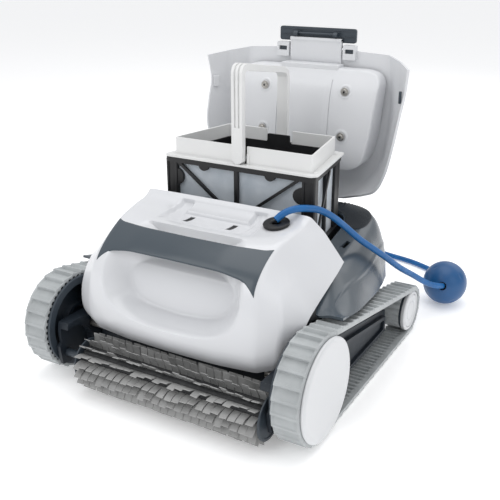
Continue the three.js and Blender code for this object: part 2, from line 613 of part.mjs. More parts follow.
function basketHandle() {
  const { pivotZ, top, leg } = HANDLE;
  const rise = [[-8.3, pivotZ], [-8.3, top - 9], [-7, top - 4], [-3, top - 0.8], [2, top], [99, top - 15],
    [105, top - 18], [109.5, top - 22], [112, top - 28], [112, pivotZ], [104.4, pivotZ], [104.4, top - 29],
    [102.5, top - 24], [98, top - 22.5], [4, top - 8.5], [0.5, top - 9.5], [-0.6, top - 12], [-0.6, pivotZ]];
  const arch = extrudeX(rise, -leg / 2, leg / 2);
  const feet = [[-8.3, -0.6], [104.4, 112]].map(([a, b]) => rod('y', leg / 2, a, b, 0, pivotZ, 24));
  const grooves = [-2.5, 2.5].map((x) => box(x - 0.8, x + 0.8, -9, -6.6, pivotZ + 56, top - 14));
  const bore = rod('y', 2.4, -20, 120, 0, pivotZ, 16);
  piece('basket_handle', cut(join(arch, ...feet), ...grooves, bore), IVORY);
}

// ---------- cable, float, coil ----------
const LEAD_OUT = [[79, -57, 205.4], [79.5, -54.2, 210], [83, -45.5, 214.5], [90.5, -36, 216], [100, -24, 214],
  [108.5, -8, 206], [116.5, 10, 194.5], [124, 33, 176], [134.5, 55, 155], [145, 77, 137], [153.5, 99, 120],
  [161.5, 130, 97], [170.5, 166, 74], [184, 201, 50.5], [194.1, 226, 38.9]];
const LEAD_BACK = [[183, 300, 22], [178, 320, 13], [167, 340, 6.5], [150, 354, 4.4], [128, 366, 4.4],
  [106, 376, 4.4], [86, 382, 4.4], [66, 386, 4.4], [46, 391.5, 4.4], [28, 399, 4.4], [10, 408.5, 4.4],
  [-8, 419, 4.4], [-26.5, 426.8, 4.4]];
const HOLE_AXIS = new THREE.Vector3(-0.14, 0.965, -0.2).normalize();
const FLOAT_CENTRE = new THREE.Vector3(FLOAT.x, FLOAT.y, FLOAT.r);

function cableLead() {
  const through = [-1, 0, 1].map((t) => FLOAT_CENTRE.clone().addScaledVector(HOLE_AXIS, 24 * t));
  const asVector = ([x, y, z]) => new THREE.Vector3(x, y, z);
  const route = [...LEAD_OUT.map(asVector), ...through, ...LEAD_BACK.map(asVector)];
  const curve = new THREE.CatmullRomCurve3(route, false, 'centripetal');
  const section = new THREE.Shape();
  section.absarc(0, 0, CABLE.r, 0, 2 * Math.PI);
  const options = { steps: 64, curveSegments: 4, extrudePath: curve, bevelEnabled: false };
  piece('cable_lead', toSolid(new THREE.ExtrudeGeometry(section, options)), BLUE);
}

function floatBall() {
  const ball = toSolid(new THREE.SphereGeometry(FLOAT.r, 20, 12).translate(0, 0, FLOAT.r));
  const bore = new THREE.CylinderGeometry(FLOAT.hole, FLOAT.hole, 80, 20);
  const turn = new THREE.Quaternion().setFromUnitVectors(new THREE.Vector3(0, 1, 0), HOLE_AXIS);
  bore.applyQuaternion(turn).translate(0, 0, FLOAT.r);
  piece('cable_float', ball.subtract(toSolid(bore)).translate([FLOAT.x, FLOAT.y, 0]), BLUE);
}

function coilAndConnector() {
  const low = 1.8;
  const high = low + COIL.high;
  const inner = COIL.mid - COIL.halfWide;
  const outer = COIL.mid + COIL.halfWide;
  const soft = 6;
  const ring = turned([[inner, low + soft], [inner + soft, low], [outer - soft, low], [outer, low + soft],
    [outer, high - soft], [outer - soft, high], [inner + soft, high], [inner, high - soft],
    [inner, low + soft]], 44, 'z', 0, 0, 0);
  piece('cable_coil', ring.translate([COIL.x, COIL.y, 0]), BLUE);
  const tieX = COIL.x - COIL.mid;
  const strap = extrudeY(roundedRect(tieX - 24, tieX + 24, 0.1, high + 1.8, 7), COIL.y - 5, COIL.y + 5,
    [roundedRect(tieX - 22.6, tieX + 22.6, 1.5, high + 0.4, 6)]);
  piece('coil_tie', strap, BLACK);
  const plugX = COIL.x + COIL.mid;
  const plugZ = high + 0.4 + 11;
  const plug = turned([[0, -28], [6, -28], [8, -12], [11, -10], [11, 20], [9, 21], [9, 28], [0, 28]],
    24, 'y', plugX, COIL.y + 6, plugZ);
  piece('cable_connector', plug, BLACK);
}

function cableGland() {
  const body = turned([[5, -10], [GLAND.r - 3.4, -10], [GLAND.r - 3.4, 1.2], [GLAND.r, 1.4], [GLAND.r, 2.6],
    [GLAND.r - 3, 4], [7, 4.2], [5, 4.2], [5, -10]], 20, 'z', 0, 0, 0);
  piece('cable_gland', onDeck(body), BLACK);
}

frontHood();
carryHandle();
baseTub();
bothSides((word, sign) => {
  sideFrame(word, sign);
  sidePanel(word, sign);
  trackBelt(word, sign);
  frontWheel(word, sign);
  rearWheel(word, sign);
});
brush();
motors();
rearCover();
lidLiner(lidShell());
lidLatch();
basketCollar();
basketFrame();
basketMesh();
basketHandle();
cableGland();
cableLead();
floatBall();
coilAndConnector();

export default assembly;
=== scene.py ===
"""Looks of a tracked pool-cleaning robot: lid up, filter basket lifted, cable and float laid out.

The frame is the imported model's: +Z up, front towards -Y. Shapes are worked out in millimetres and
turned into metres when their mesh is made.
"""
import math
import random

import bmesh
import bpy
import numpy as np
from mathutils import Matrix, Vector
from mathutils.geometry import tessellate_polygon


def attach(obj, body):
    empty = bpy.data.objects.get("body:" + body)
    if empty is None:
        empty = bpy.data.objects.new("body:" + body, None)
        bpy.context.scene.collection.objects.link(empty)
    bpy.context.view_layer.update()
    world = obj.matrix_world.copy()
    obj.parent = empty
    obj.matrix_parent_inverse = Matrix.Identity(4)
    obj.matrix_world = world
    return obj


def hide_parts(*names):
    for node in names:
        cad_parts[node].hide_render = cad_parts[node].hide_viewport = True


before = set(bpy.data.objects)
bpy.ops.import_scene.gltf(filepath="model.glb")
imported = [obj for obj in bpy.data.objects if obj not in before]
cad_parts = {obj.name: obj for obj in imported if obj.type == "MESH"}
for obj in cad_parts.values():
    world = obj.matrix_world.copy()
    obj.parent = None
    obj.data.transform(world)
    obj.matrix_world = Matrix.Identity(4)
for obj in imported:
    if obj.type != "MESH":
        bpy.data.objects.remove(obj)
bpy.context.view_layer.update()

# Millimetres from here on: y and z of an axle, r an outer radius, x limits of a part's two ends.
MM = 0.001
BELT = {"inner": 149.0, "outer": 180.0, "thick": 6.7}
RIM_GAP = 0.3  # between a wheel's rim and the belt round it
FRONT = {"y": -136.5, "z": 61.0, "r": 61.0}
REAR = {"y": 141.0, "z": 34.0, "r": 34.0}
BRUSH = {"y": -171.5, "z": 34.0, "r": 32.8, "left": -103.0, "right": 134.0}
HINGE = {"y": 158.0, "z": 147.0}
BASKET = {"flange": 242.0, "top": 265.4, "base": 140.0}
HANDLE = {"pivot": 252.0, "top": 361.0, "leg": 15.0}
GLAND = {"x": 79.0, "y": -55.5, "z": 199.4, "r": 15.0, "tilt": 10.0, "roll": -3.0}
CABLE_R = 4.0
FLOAT = {"x": 189.0, "y": 262.0, "r": 31.0, "hole": 6.0}
COIL = {"x": -60.0, "y": 333.0, "low": 1.8, "high": 42.8, "outer": 90.0, "pitch": 9.0, "rise": 8.25}
COIL_TURNS = 24
COIL_LAYER = 5  # turns side by side in one layer
COIL_END = (-26.5, 426.8)  # where the lead from the float joins the first turn
PLUG_Z = COIL["high"] + 11.4


# ---------- camera, floor and light ----------
def make_camera():
    camera = bpy.data.objects.new("camera", bpy.data.cameras.new("camera"))
    camera.location = (0.4522, -0.7605, 0.480)
    camera.rotation_euler = (math.radians(68.6), 0, math.radians(30))
    camera.data.lens = 55.0
    camera.data.sensor_width = 36.0
    bpy.context.collection.objects.link(camera)
    bpy.context.scene.camera = camera


def area_light(name, place, target, size, watts):
    light = bpy.data.objects.new(name, bpy.data.lights.new(name, "AREA"))
    light.data.shape = "RECTANGLE"
    light.data.size, light.data.size_y = size
    light.data.energy = watts
    light.location = place
    light.rotation_euler = (Vector(target) - Vector(place)).to_track_quat("-Z", "Y").to_euler()
    bpy.context.collection.objects.link(light)


def make_studio():
    area_light("key_light", (-0.7, -1.3, 1.5), (0, 0, 0.15), (1.4, 1.2), 7.5)
    area_light("fill_light", (1.7, -0.5, 0.9), (0, 0, 0.15), (1.0, 1.6), 3)
    area_light("top_light", (0.0, 0.2, 1.9), (0, 0, 0), (1.8, 1.8), 14)
    area_light("back_light", (0.5, 1.8, 1.2), (0, 0.1, 0.2), (1.8, 1.0), 5)
    bpy.context.scene.view_settings.view_transform = "Standard"
    world = bpy.data.worlds.new("studio")
    world.use_nodes = True
    background = world.node_tree.nodes["Background"]
    background.inputs["Color"].default_value = (0.97, 0.98, 1.0, 1)
    background.inputs["Strength"].default_value = 0.66
    bpy.context.scene.world = world
    bpy.ops.mesh.primitive_plane_add(size=60, location=(0, 0, -0.0004))
    floor = bpy.context.object
    floor.name = "floor"
    material = bpy.data.materials.new("floor")
    material.use_nodes = True
    shader = material.node_tree.nodes["Principled BSDF"]
    shader.inputs["Base Color"].default_value = (0.97, 0.97, 0.97, 1)
    shader.inputs["Roughness"].default_value = 0.8
    shader.inputs["Emission Color"].default_value = (1, 1, 1, 1)
    shader.inputs["Emission Strength"].default_value = 0.27
    floor.data.materials.append(material)


# ---------- materials ----------
class Nodes:
    """Short calls for building one material's node tree."""

    def __init__(self, name):
        self.material = bpy.data.materials.new(name)
        self.material.use_nodes = True
        self.tree = self.material.node_tree
        self.shader = self.tree.nodes["Principled BSDF"]
        self.place = self.add("ShaderNodeTexCoord").outputs["Object"]

    def add(self, kind, **inputs):
        node = self.tree.nodes.new(kind)
        for key, value in inputs.items():
            node.inputs[key.replace("_", " ")].default_value = value
        return node

    def link(self, source, target):
        self.tree.links.new(source, target)

    def noise(self, scale, detail=3.0, stretch=None):
        node = self.add("ShaderNodeTexNoise", Scale=scale, Detail=detail)
        source = self.place
        if stretch:
            mapping = self.add("ShaderNodeMapping", Scale=stretch)
            self.link(source, mapping.inputs["Vector"])
            source = mapping.outputs["Vector"]
        self.link(source, node.inputs["Vector"])
        return node.outputs["Fac"]

    def gloss(self, value, low, high):
        """Roughness that drifts from low to high with a noise value."""
        node = self.add("ShaderNodeMapRange", From_Min=0.3, From_Max=0.7, To_Min=low, To_Max=high)
        self.link(value, node.inputs["Value"])
        self.link(node.outputs["Result"], self.shader.inputs["Roughness"])

    def tint(self, value, dark, light):
        """Base colour that drifts from dark to light with a noise value."""
        node = self.tree.nodes.new("ShaderNodeValToRGB")
        node.color_ramp.elements[0].color = (*dark, 1)
        node.color_ramp.elements[1].color = (*light, 1)
        node.color_ramp.elements[0].position = 0.3
        node.color_ramp.elements[1].position = 0.7
        self.link(value, node.inputs["Fac"])
        self.link(node.outputs["Color"], self.shader.inputs["Base Color"])

    def bump(self, value, strength, distance):
        """Adds a bump in front of any that is there already."""
        node = self.add("ShaderNodeBump", Strength=strength, Distance=distance)
        self.link(value, node.inputs["Height"])
        below = self.shader.inputs["Normal"]
        if below.is_linked:
            self.link(below.links[0].from_socket, node.inputs["Normal"])
        self.link(node.outputs["Normal"], below)


def moulded(name, color, rough, grain, coat, spread):
    """Injection-moulded plastic: faint tone drift, slightly uneven gloss and a fine grain."""
    nodes = Nodes(name)
    dark = [c * (1 - spread) for c in color]
    light = [min(1, c * (1 + spread)) for c in color]
    nodes.tint(nodes.noise(14, 4), dark, light)
    nodes.gloss(nodes.noise(55, 5), rough * 0.95, rough * 1.08)
    nodes.bump(nodes.noise(2600, 2), grain, 0.0002)
    nodes.shader.inputs["Coat Weight"].default_value = coat
    nodes.shader.inputs["Coat Roughness"].default_value = 0.12
    return nodes.material


def rubber(name, color, rough, sheen):
    """Soft matt rubber or vinyl, its tone and gloss a little patchy."""
    nodes = Nodes(name)
    nodes.tint(nodes.noise(38, 6), [c * 0.86 for c in color], [min(1, c * 1.06) for c in color])
    nodes.gloss(nodes.noise(240, 4), rough - 0.1, rough + 0.12)
    nodes.bump(nodes.noise(900, 3), 0.12, 0.0004)
    nodes.bump(nodes.noise(60, 3), 0.08, 0.001)
    nodes.shader.inputs["Sheen Weight"].default_value = sheen
    return nodes.material


def brushed_steel(name):
    """Steel with fine marks drawn out along x."""
    nodes = Nodes(name)
    nodes.tint(nodes.noise(900, 3, (0.05, 1, 1)), (0.30, 0.29, 0.27), (0.52, 0.50, 0.47))
    nodes.gloss(nodes.noise(1500, 4), 0.22, 0.42)
    nodes.bump(nodes.noise(1800, 2, (0.05, 1, 1)), 0.1, 0.0002)
    nodes.shader.inputs["Metallic"].default_value = 1.0
    return nodes.material


def filter_cloth(name):
    """Fine woven screen: threads two ways, part see-through."""
    nodes = Nodes(name)
    nodes.tint(nodes.noise(30, 4), (0.52, 0.58, 0.64), (0.72, 0.77, 0.82))
    for axis in ("X", "Z"):
        wave = nodes.add("ShaderNodeTexWave", Scale=420.0, Distortion=0.3)
        wave.bands_direction = axis
        nodes.link(nodes.place, wave.inputs["Vector"])
        nodes.bump(wave.outputs["Fac"], 0.25, 0.0003)
    nodes.shader.inputs["Roughness"].default_value = 0.42
    nodes.shader.inputs["Transmission Weight"].default_value = 0.12
    nodes.shader.inputs["Sheen Weight"].default_value = 0.2
    return nodes.material


# name, colour, roughness, grain, coat and spread of tone
MOULDED = (
    ("hood_white", (0.70, 0.708, 0.728), 0.22, 0.02, 0.25, 0.012),
    ("inner_white", (0.70, 0.708, 0.725), 0.42, 0.06, 0.0, 0.015),
    ("wheel_white", (0.68, 0.688, 0.70), 0.38, 0.05, 0.1, 0.015),
    ("slate_gloss", (0.054, 0.071, 0.087), 0.25, 0.02, 0.15, 0.01),
    ("slate_matte", (0.036, 0.048, 0.062), 0.42, 0.1, 0.0, 0.08),
    ("navy_plastic", (0.008, 0.014, 0.022), 0.5, 0.08, 0.0, 0.15),
    ("black_plastic", (0.006, 0.006, 0.007), 0.42, 0.08, 0.0, 0.15),
    ("ivory_plastic", (0.76, 0.762, 0.755), 0.36, 0.05, 0.05, 0.015),
    ("float_blue", (0.006, 0.082, 0.235), 0.38, 0.12, 0.1, 0.06),
)
# name, colour, roughness and sheen
RUBBER = (
    ("track_rubber", (0.43, 0.452, 0.458), 0.5, 0.1),
    ("brush_pvc", (0.345, 0.345, 0.34), 0.42, 0.1),
    ("brush_root", (0.035, 0.036, 0.038), 0.6, 0.1),
    ("cable_blue", (0.0005, 0.118, 0.36), 0.42, 0.0),
    ("strap_black", (0.012, 0.012, 0.014), 0.75, 0.1),
)


def make_materials():
    looks = {row[0]: moulded(*row) for row in MOULDED}
    looks |= {row[0]: rubber(*row) for row in RUBBER}
    return looks | {"filter_mesh": filter_cloth("filter_mesh"), "steel": brushed_steel("steel")}


# ---------- mesh helpers ----------
def catmull(points, count):
    """Centripetal spline through the points, sampled at `count` even steps in parameter."""
    pts = np.array(points, float)
    pts = np.vstack([2 * pts[0] - pts[1], pts, 2 * pts[-1] - pts[-2]])
    spans = len(pts) - 3
    where = np.linspace(0, spans, count)
    index = np.minimum(where.astype(int), spans - 1)
    t = (where - index)[:, None]
    p0, p1, p2, p3 = (pts[index + k] for k in range(4))
    d0, d1, d2 = (np.maximum(np.linalg.norm(b - a, axis=1) ** 0.5, 1e-4)[:, None]
                  for a, b in ((p0, p1), (p1, p2), (p2, p3)))
    m1 = ((p1 - p0) / d0 - (p2 - p0) / (d0 + d1) + (p2 - p1) / d1) * d1
    m2 = ((p2 - p1) / d1 - (p3 - p1) / (d1 + d2) + (p3 - p2) / d2) * d1
    return (p1 + m1 * t + (-3 * p1 + 3 * p2 - 2 * m1 - m2) * t**2 + (2 * p1 - 2 * p2 + m1 + m2) * t**3)


def creased(points, count, ease=0.14):
    """Straight runs between stations with each corner eased over a short stretch either side."""
    pts = np.array(points, float)
    last = len(pts) - 1
    u = np.linspace(0, last, count)
    reach = np.minimum(ease, np.minimum(u, last - u))
    shifted = u[:, None] + reach[:, None] * np.linspace(-1, 1, 9)[None, :]
    return np.stack([np.interp(shifted, np.arange(last + 1), pts[:, k]).mean(1) for k in range(3)], 1)


def refine(table, rows, columns, lay=catmull):
    """Smooths a table of [x, y, z] stations into a fine rows x columns grid."""
    across = np.array([lay(row, columns) for row in table])
    return np.stack([catmull(across[:, c], rows) for c in range(columns)], axis=1)


def mirrored(half):
    """A half row of stations from the middle out, made whole from -X to +X."""
    return [[-x, y, z] for x, y, z in half[:0:-1]] + [list(p) for p in half]


def wrapped(half):
    """A half row from the right end to the middle, carried round to the left end."""
    return [list(p) for p in half] + [[-x, y, z] for x, y, z in half[-2::-1]]


def grid_normals(grid):
    """Unit normal at each point of a grid."""
    across = np.gradient(grid, axis=1)
    along = np.gradient(grid, axis=0)
    normals = np.cross(across, along)
    return normals / np.maximum(np.linalg.norm(normals, axis=2, keepdims=True), 1e-9)


def smoothstep(value):
    value = np.clip(value, 0, 1)
    return value * value * (3 - 2 * value)


def shell(grid, thickness):
    """A grid thickened towards the back of its faces into a closed sheet, as (vertices, faces)."""
    rows, columns = grid.shape[:2]
    back = grid - grid_normals(grid) * thickness
    verts = np.vstack([grid.reshape(-1, 3), back.reshape(-1, 3)])
    at = np.arange(rows * columns).reshape(rows, columns)
    low = at + rows * columns
    a, b, c, d = at[:-1, :-1], at[:-1, 1:], at[1:, 1:], at[1:, :-1]
    faces = np.stack([a, b, c, d], -1).reshape(-1, 4).tolist()
    a, b, c, d = low[:-1, :-1], low[1:, :-1], low[1:, 1:], low[:-1, 1:]
    faces += np.stack([a, b, c, d], -1).reshape(-1, 4).tolist()
    rim = np.concatenate([at[0, :-1], at[:-1, -1], at[-1, :0:-1], at[:0:-1, 0]])
    following = np.roll(rim, -1)
    count = rows * columns
    faces += [[p, p + count, q + count, q] for p, q in zip(rim.tolist(), following.tolist())]
    return verts, faces


def arc_corner(before, corner, after, radius, steps=4):
    """Points that round the corner of a polyline."""
    a, b, c = (np.array(p, float) for p in (before, corner, after))
    u, v = (a - b) / np.linalg.norm(a - b), (c - b) / np.linalg.norm(c - b)
    half = math.acos(float(np.clip(u @ v, -1, 1))) / 2
    room = 0.49 * min(np.linalg.norm(a - b), np.linalg.norm(c - b))
    reach = min(radius / max(math.tan(half), 1e-6), room)
    start, end = b + u * reach, b + v * reach
    shares = np.linspace(0, 1, steps + 1)
    return [tuple((1 - t) ** 2 * start + 2 * t * (1 - t) * b + t**2 * end) for t in shares]


def rounded(points, radius, closed=True, steps=4):
    """The outline with each corner rounded."""
    made = []
    count = len(points)
    for i, point in enumerate(points):
        if not closed and i in (0, count - 1):
            made.append(tuple(point))
        else:
            made += arc_corner(points[i - 1], point, points[(i + 1) % count], radius, steps)
    return made


def rect(x0, x1, y0, y1, radius=0.0, steps=4):
    corners = [(x0, y0), (x1, y0), (x1, y1), (x0, y1)]
    return rounded(corners, radius, True, steps) if radius else corners


def circle(centre, radius, count):
    """Even points round a circle."""
    return [(centre[0] + radius * math.cos(a), centre[1] + radius * math.sin(a))
            for a in np.linspace(0, 2 * math.pi, count, endpoint=False)]


def half_ellipse(centre, across, up, count, margin=0.0):
    """Even points over the top of an ellipse from right to left, both ends included."""
    return [(centre[0] + across * math.cos(a), centre[1] + up * math.sin(a))
            for a in np.linspace(margin, math.pi - margin, count)]


AXES = {"x": (1, 2, 0), "y": (0, 2, 1), "z": (0, 1, 2)}


def prism(outline, low, high, axis, holes=()):
    """An outline drawn out along an axis: (y, z) along x, (x, z) along y or (x, y) along z."""
    loops = [list(outline)] + [list(h) for h in holes]
    flat = [p for loop in loops for p in loop]
    count = len(flat)
    a, b, c = AXES[axis]
    verts = np.zeros((2 * count, 3))
    verts[:, a] = [p[0] for p in flat] * 2
    verts[:, b] = [p[1] for p in flat] * 2
    verts[:count, c] = low
    verts[count:, c] = high
    if holes:
        tris = tessellate_polygon([[Vector((p[0], p[1], 0)) for p in loop] for loop in loops])
    else:
        tris = [tuple(range(count))]
    faces = [list(t) for t in tris] + [[i + count for i in t[::-1]] for t in tris]
    start = 0
    for loop in loops:
        n = len(loop)
        for i in range(n):
            p, q = start + i, start + (i + 1) % n
            faces.append([p, p + count, q + count, q])
        start += n
    return verts, faces


def block(x0, x1, y0, y1, z0, z1):
    return prism(rect(x0, x1, y0, y1), z0, z1, "z")


def lathe(profile, axis, centre, segments=64, ripple=None):
    """A profile of (radius, height) turned about an axis through `centre`."""
    ring = np.array(profile, float)
    angle = np.linspace(0, 2 * math.pi, segments, endpoint=False)
    radius = np.repeat(ring[None, :, 0], segments, 0)
    if ripple:
        radius = ripple(radius, angle[:, None], ring[None, :, 1])
    a, b, c = AXES[axis]
    points = np.zeros((segments, len(ring), 3))
    points[..., a] = radius * np.cos(angle)[:, None] + centre[0]
    points[..., b] = radius * np.sin(angle)[:, None] + centre[1]
    points[..., c] = ring[None, :, 1]
    index = np.arange(segments * len(ring)).reshape(segments, len(ring))
    nxt = np.roll(index, -1, 0)
    closed = np.allclose(ring[0], ring[-1])
    faces = np.stack([index[:, :-1], nxt[:, :-1], nxt[:, 1:], index[:, 1:]], -1).reshape(-1, 4).tolist()
    verts = points.reshape(-1, 3)
    if not closed:
        faces += [index[:, 0][::-1].tolist(), index[:, -1].tolist()]
    return verts, faces


def merge(*parts):
    verts, faces, start = [], [], 0
    for v, f in parts:
        verts.append(np.asarray(v, float))
        faces += [[i + start for i in face] for face in f]
        start += len(v)
    return np.vstack(verts), faces


def moved(part, matrix):
    verts = np.asarray(part[0]) @ np.array(matrix.to_3x3()).T + np.array(matrix.to_translation())
    return verts, part[1]


def flipped(part):
    """The part's mirror image in x = 0, its faces still outward."""
    verts = np.array(part[0], float)
    verts[:, 0] *= -1
    return verts, [f[::-1] for f in part[1]]


def on_side(part, sign):
    return part if sign > 0 else flipped(part)


SIDES = (("left", -1), ("right", 1))
SMOOTH_ANGLE = 35  # degrees; sharper edges keep their crease


def ease_edges(piece, width, segments, degrees):
    """Rounds the edges sharper than an angle; the width is in millimetres."""
    edge = piece.modifiers.new("edge", "BEVEL")
    edge.width = width * MM
    edge.segments = segments
    edge.limit_method = "ANGLE"
    edge.angle_limit = math.radians(degrees)


def make(name, part, body, material, replaces=(), slot=None, bevel=0.0, smooth=SMOOTH_ANGLE):
    """Makes a piece from (vertices, faces) in millimetres, and lets it ride on its body."""
    mesh = bpy.data.meshes.new(name)
    mesh.from_pydata((np.asarray(part[0]) * MM).tolist(), [], part[1])
    mesh.validate()
    recalculate(mesh)
    piece = bpy.data.objects.new(name, mesh)
    bpy.context.collection.objects.link(piece)
    mesh.materials.append(LOOKS[material])
    mesh.polygons.foreach_set("use_smooth", [True] * len(mesh.polygons))
    if bevel:
        ease_edges(piece, bevel, 2, smooth)
    mesh.set_sharp_from_angle(angle=math.radians(smooth))
    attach(piece, body)
    if replaces:
        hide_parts(*replaces)
    return piece


def make_pair(name, part, body, material, node, **options):
    """A right-hand piece and its mirror image, in place of a pair of CAD nodes."""
    for word, sign in SIDES:
        make(f"{name}_{word}", on_side(part, sign), body, material, [f"{node}_{word}"], **options)


def recalculate(mesh):
    """Merges doubled points and points every face outward."""
    work = bmesh.new()
    work.from_mesh(mesh)
    bmesh.ops.remove_doubles(work, verts=work.verts, dist=1e-6)
    bmesh.ops.recalc_face_normals(work, faces=work.faces)
    work.to_mesh(mesh)
    work.free()


def carve(piece, cutters):
    """Cuts (vertices, faces) solids out of a piece and keeps the result as its mesh."""
    mesh = bpy.data.meshes.new("cutter")
    verts, faces = merge(*cutters)
    mesh.from_pydata((verts * MM).tolist(), [], faces)
    recalculate(mesh)
    cutter = bpy.data.objects.new("cutter", mesh)
    bpy.context.collection.objects.link(cutter)
    step = piece.modifiers.new("carve", "BOOLEAN")
    step.operation = "DIFFERENCE"
    step.solver = "EXACT"
    step.object = cutter
    bpy.context.view_layer.update()
    graph = bpy.context.evaluated_depsgraph_get()
    result = bpy.data.meshes.new_from_object(piece.evaluated_get(graph))
    piece.modifiers.remove(step)
    piece.data = result
    bpy.data.objects.remove(cutter)
    result.set_sharp_from_angle(angle=math.radians(SMOOTH_ANGLE))


# ---------- cable ----------
# The route, in millimetres: out of the deck, over the rear cover, down to the float ...
LEAD_OUT = [[79, -57, 203.6], [83.2, -51.2, 208.8], [88.1, -44.4, 211.9], [93.4, -37.2, 213.1],
            [99.6, -27.5, 212], [108.5, -8, 206], [116.5, 10, 194.5], [124, 33, 176], [134.5, 55, 155],
            [145, 77, 137], [153.5, 99, 120], [161.5, 130, 97], [170.5, 166, 74], [184, 201, 50.5],
            [192.5, 222, 41.5]]
# ... and from the float down to the floor, then round behind the robot to the coil.
LEAD_BACK = [[183, 300, 22], [178, 320, 13], [167, 340, 6.5], [150, 354, 4.4], [128, 366, 4.4],
             [106, 376, 4.4], [86, 382, 4.4], [66, 386, 4.4], [46, 391.5, 4.4], [28, 399, 4.4],
             [10, 408.5, 4.4], [-8, 419, 4.4], [*COIL_END, 4.4]]
HOLE_AXIS = np.array([-0.14, 0.965, -0.2]) / math.sqrt(0.14**2 + 0.965**2 + 0.2**2)  # the float's bore


def coil_points():
    """Turns side by side in layers; each moves over, or up, in a short stretch before its end."""
    start = math.atan2(COIL_END[1] - COIL["y"], COIL_END[0] - COIL["x"])
    bottom = COIL["low"] + CABLE_R
    inner = COIL["outer"] - (COIL_LAYER - 1) * COIL["pitch"]
    steps = 48
    points = []

    def radius_of(turn):
        layer, place = divmod(turn, COIL_LAYER)
        inward = layer % 2 == 0
        return COIL["outer"] - COIL["pitch"] * place if inward else inner + COIL["pitch"] * place

    def add(angle, radius, z):
        points.append([COIL["x"] + radius * math.cos(angle), COIL["y"] + radius * math.sin(angle), z])

    for turn in range(COIL_TURNS):
        layer = turn // COIL_LAYER
        last = turn == COIL_TURNS - 1
        for i in range(steps):
            share = i / steps
            move = float(smoothstep((share - 0.88) / 0.12))
            lift = float(smoothstep((share - 0.74) / 0.14))
            after = radius_of(turn) if last else radius_of(turn + 1)
            radius = radius_of(turn) * (1 - move) + after * move
            climbs = not last and (turn + 1) // COIL_LAYER > layer
            z = bottom + COIL["rise"] * (layer + (lift if climbs else 0))
            if turn == 0:  # the lead comes in from a little outside and below
                lead_in = 1 - float(smoothstep(share / 0.2))
                radius += 9.6 * lead_in
                z -= 1.4 * lead_in
            add(start + 2 * math.pi * share, radius, z)
    top = bottom + COIL["rise"] * ((COIL_TURNS - 1) // COIL_LAYER)
    finish_angle = 2 * math.pi - 0.30 - start  # the tail climbs over the top layer to the plug
    for i in range(33):
        share = i / 32
        climb = float(smoothstep(share))
        add(start + finish_angle * share, radius_of(COIL_TURNS - 1) * (1 - climb) + 75.4 * climb,
            top + (PLUG_Z - top) * float(smoothstep(share / 0.85)))
    return points


def cable_route():
    centre = np.array([FLOAT["x"], FLOAT["y"], FLOAT["r"]])
    through = [centre + HOLE_AXIS * t for t in (-24, 0, 24)]
    coil = coil_points()
    lead = catmull(LEAD_OUT + through + LEAD_BACK + coil[1:3], 420)[:-14]
    return np.vstack([lead, coil[2:]])


def make_cable():
    route = cable_route() * MM
    data = bpy.data.curves.new("pool_cable", "CURVE")
    data.dimensions = "3D"
    spline = data.splines.new("POLY")
    spline.points.add(len(route) - 1)
    spline.points.foreach_set("co", np.hstack([route, np.ones((len(route), 1))]).ravel())
    data.bevel_depth = CABLE_R * MM
    data.bevel_resolution = 5
    data.use_fill_caps = True
    data.materials.append(LOOKS["cable_blue"])
    cable = bpy.data.objects.new("pool_cable", data)
    bpy.context.collection.objects.link(cable)
    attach(cable, "chassis")
    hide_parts("cable_lead", "cable_coil")
    length = float(np.linalg.norm(np.diff(route, axis=0), axis=1).sum())
    print(f"cable length {length:.3f} m")
    return cable, route


def make_float():
    """Hollow ball with a bore for the cable, a moulding seam and four faint gate marks."""
    r, hole = FLOAT["r"], FLOAT["hole"]
    skin = [(r * math.sin(a), -r * math.cos(a)) for a in np.linspace(0.24, math.pi - 0.24, 70)]
    profile = [(hole, 0.6 - r), *skin, (hole, r - 0.6), (hole, 0.6 - r)]

    def ripple(radius, angle, height):
        seam = np.exp(-((height / 0.5) ** 2)) * 0.25
        marks = np.zeros_like(radius)
        for k in range(4):
            turn = (angle - k * math.pi / 2 - 0.6 + math.pi) % (2 * math.pi) - math.pi
            marks += np.exp(-((turn * 22 / 3.2) ** 2 + ((np.abs(height) - 15) / 2.0) ** 2)) * 0.9
        return np.where(radius > hole + 2, radius + seam - marks, radius)

    ball = lathe(profile, "y", (0, 0), 96, ripple)
    turn = Vector((0, 1, 0)).rotation_difference(Vector(HOLE_AXIS)).to_matrix().to_4x4()
    place = Matrix.Translation((FLOAT["x"], FLOAT["y"], r))
    return make("float_ball", moved(ball, place @ turn), "chassis", "float_blue", ["cable_float"])


def make_connector():
    """Moulded cable plug: tapered boot with rings, ribbed body and a collar with a blind socket."""
    profile = [(4.2, -30), (5.4, -30), (6, -28.5)]
    for i in range(6):
        y, ring, groove = -27 + i * 3, 6.2 + i * 0.3, 5.5 + i * 0.3
        profile += [(ring, y), (ring, y + 1.6), (groove, y + 2.0), (groove, y + 2.6)]
    profile += [(9, -8.5), (10.6, -7), (10.8, 14), (10.2, 15.5), (10.2, 17), (10.9, 17.6), (10.9, 26.4),
                (10.2, 28), (8, 28), (7.6, 27), (7.6, 20), (0, 20)]

    def ripple(radius, angle, height):
        grips = (np.abs(np.sin(angle * 9)) < 0.45) & (height > -5) & (height < 13) & (radius > 10)
        return np.where(grips, radius - 0.7, radius)

    plug = lathe(profile, "y", (0, 0), 108, ripple)
    plug = moved(plug, Matrix.Translation((COIL["x"] + 72, COIL["y"] + 6, PLUG_Z)))
    return make("cable_plug", plug, "chassis", "black_plastic", ["cable_connector"], smooth=30)


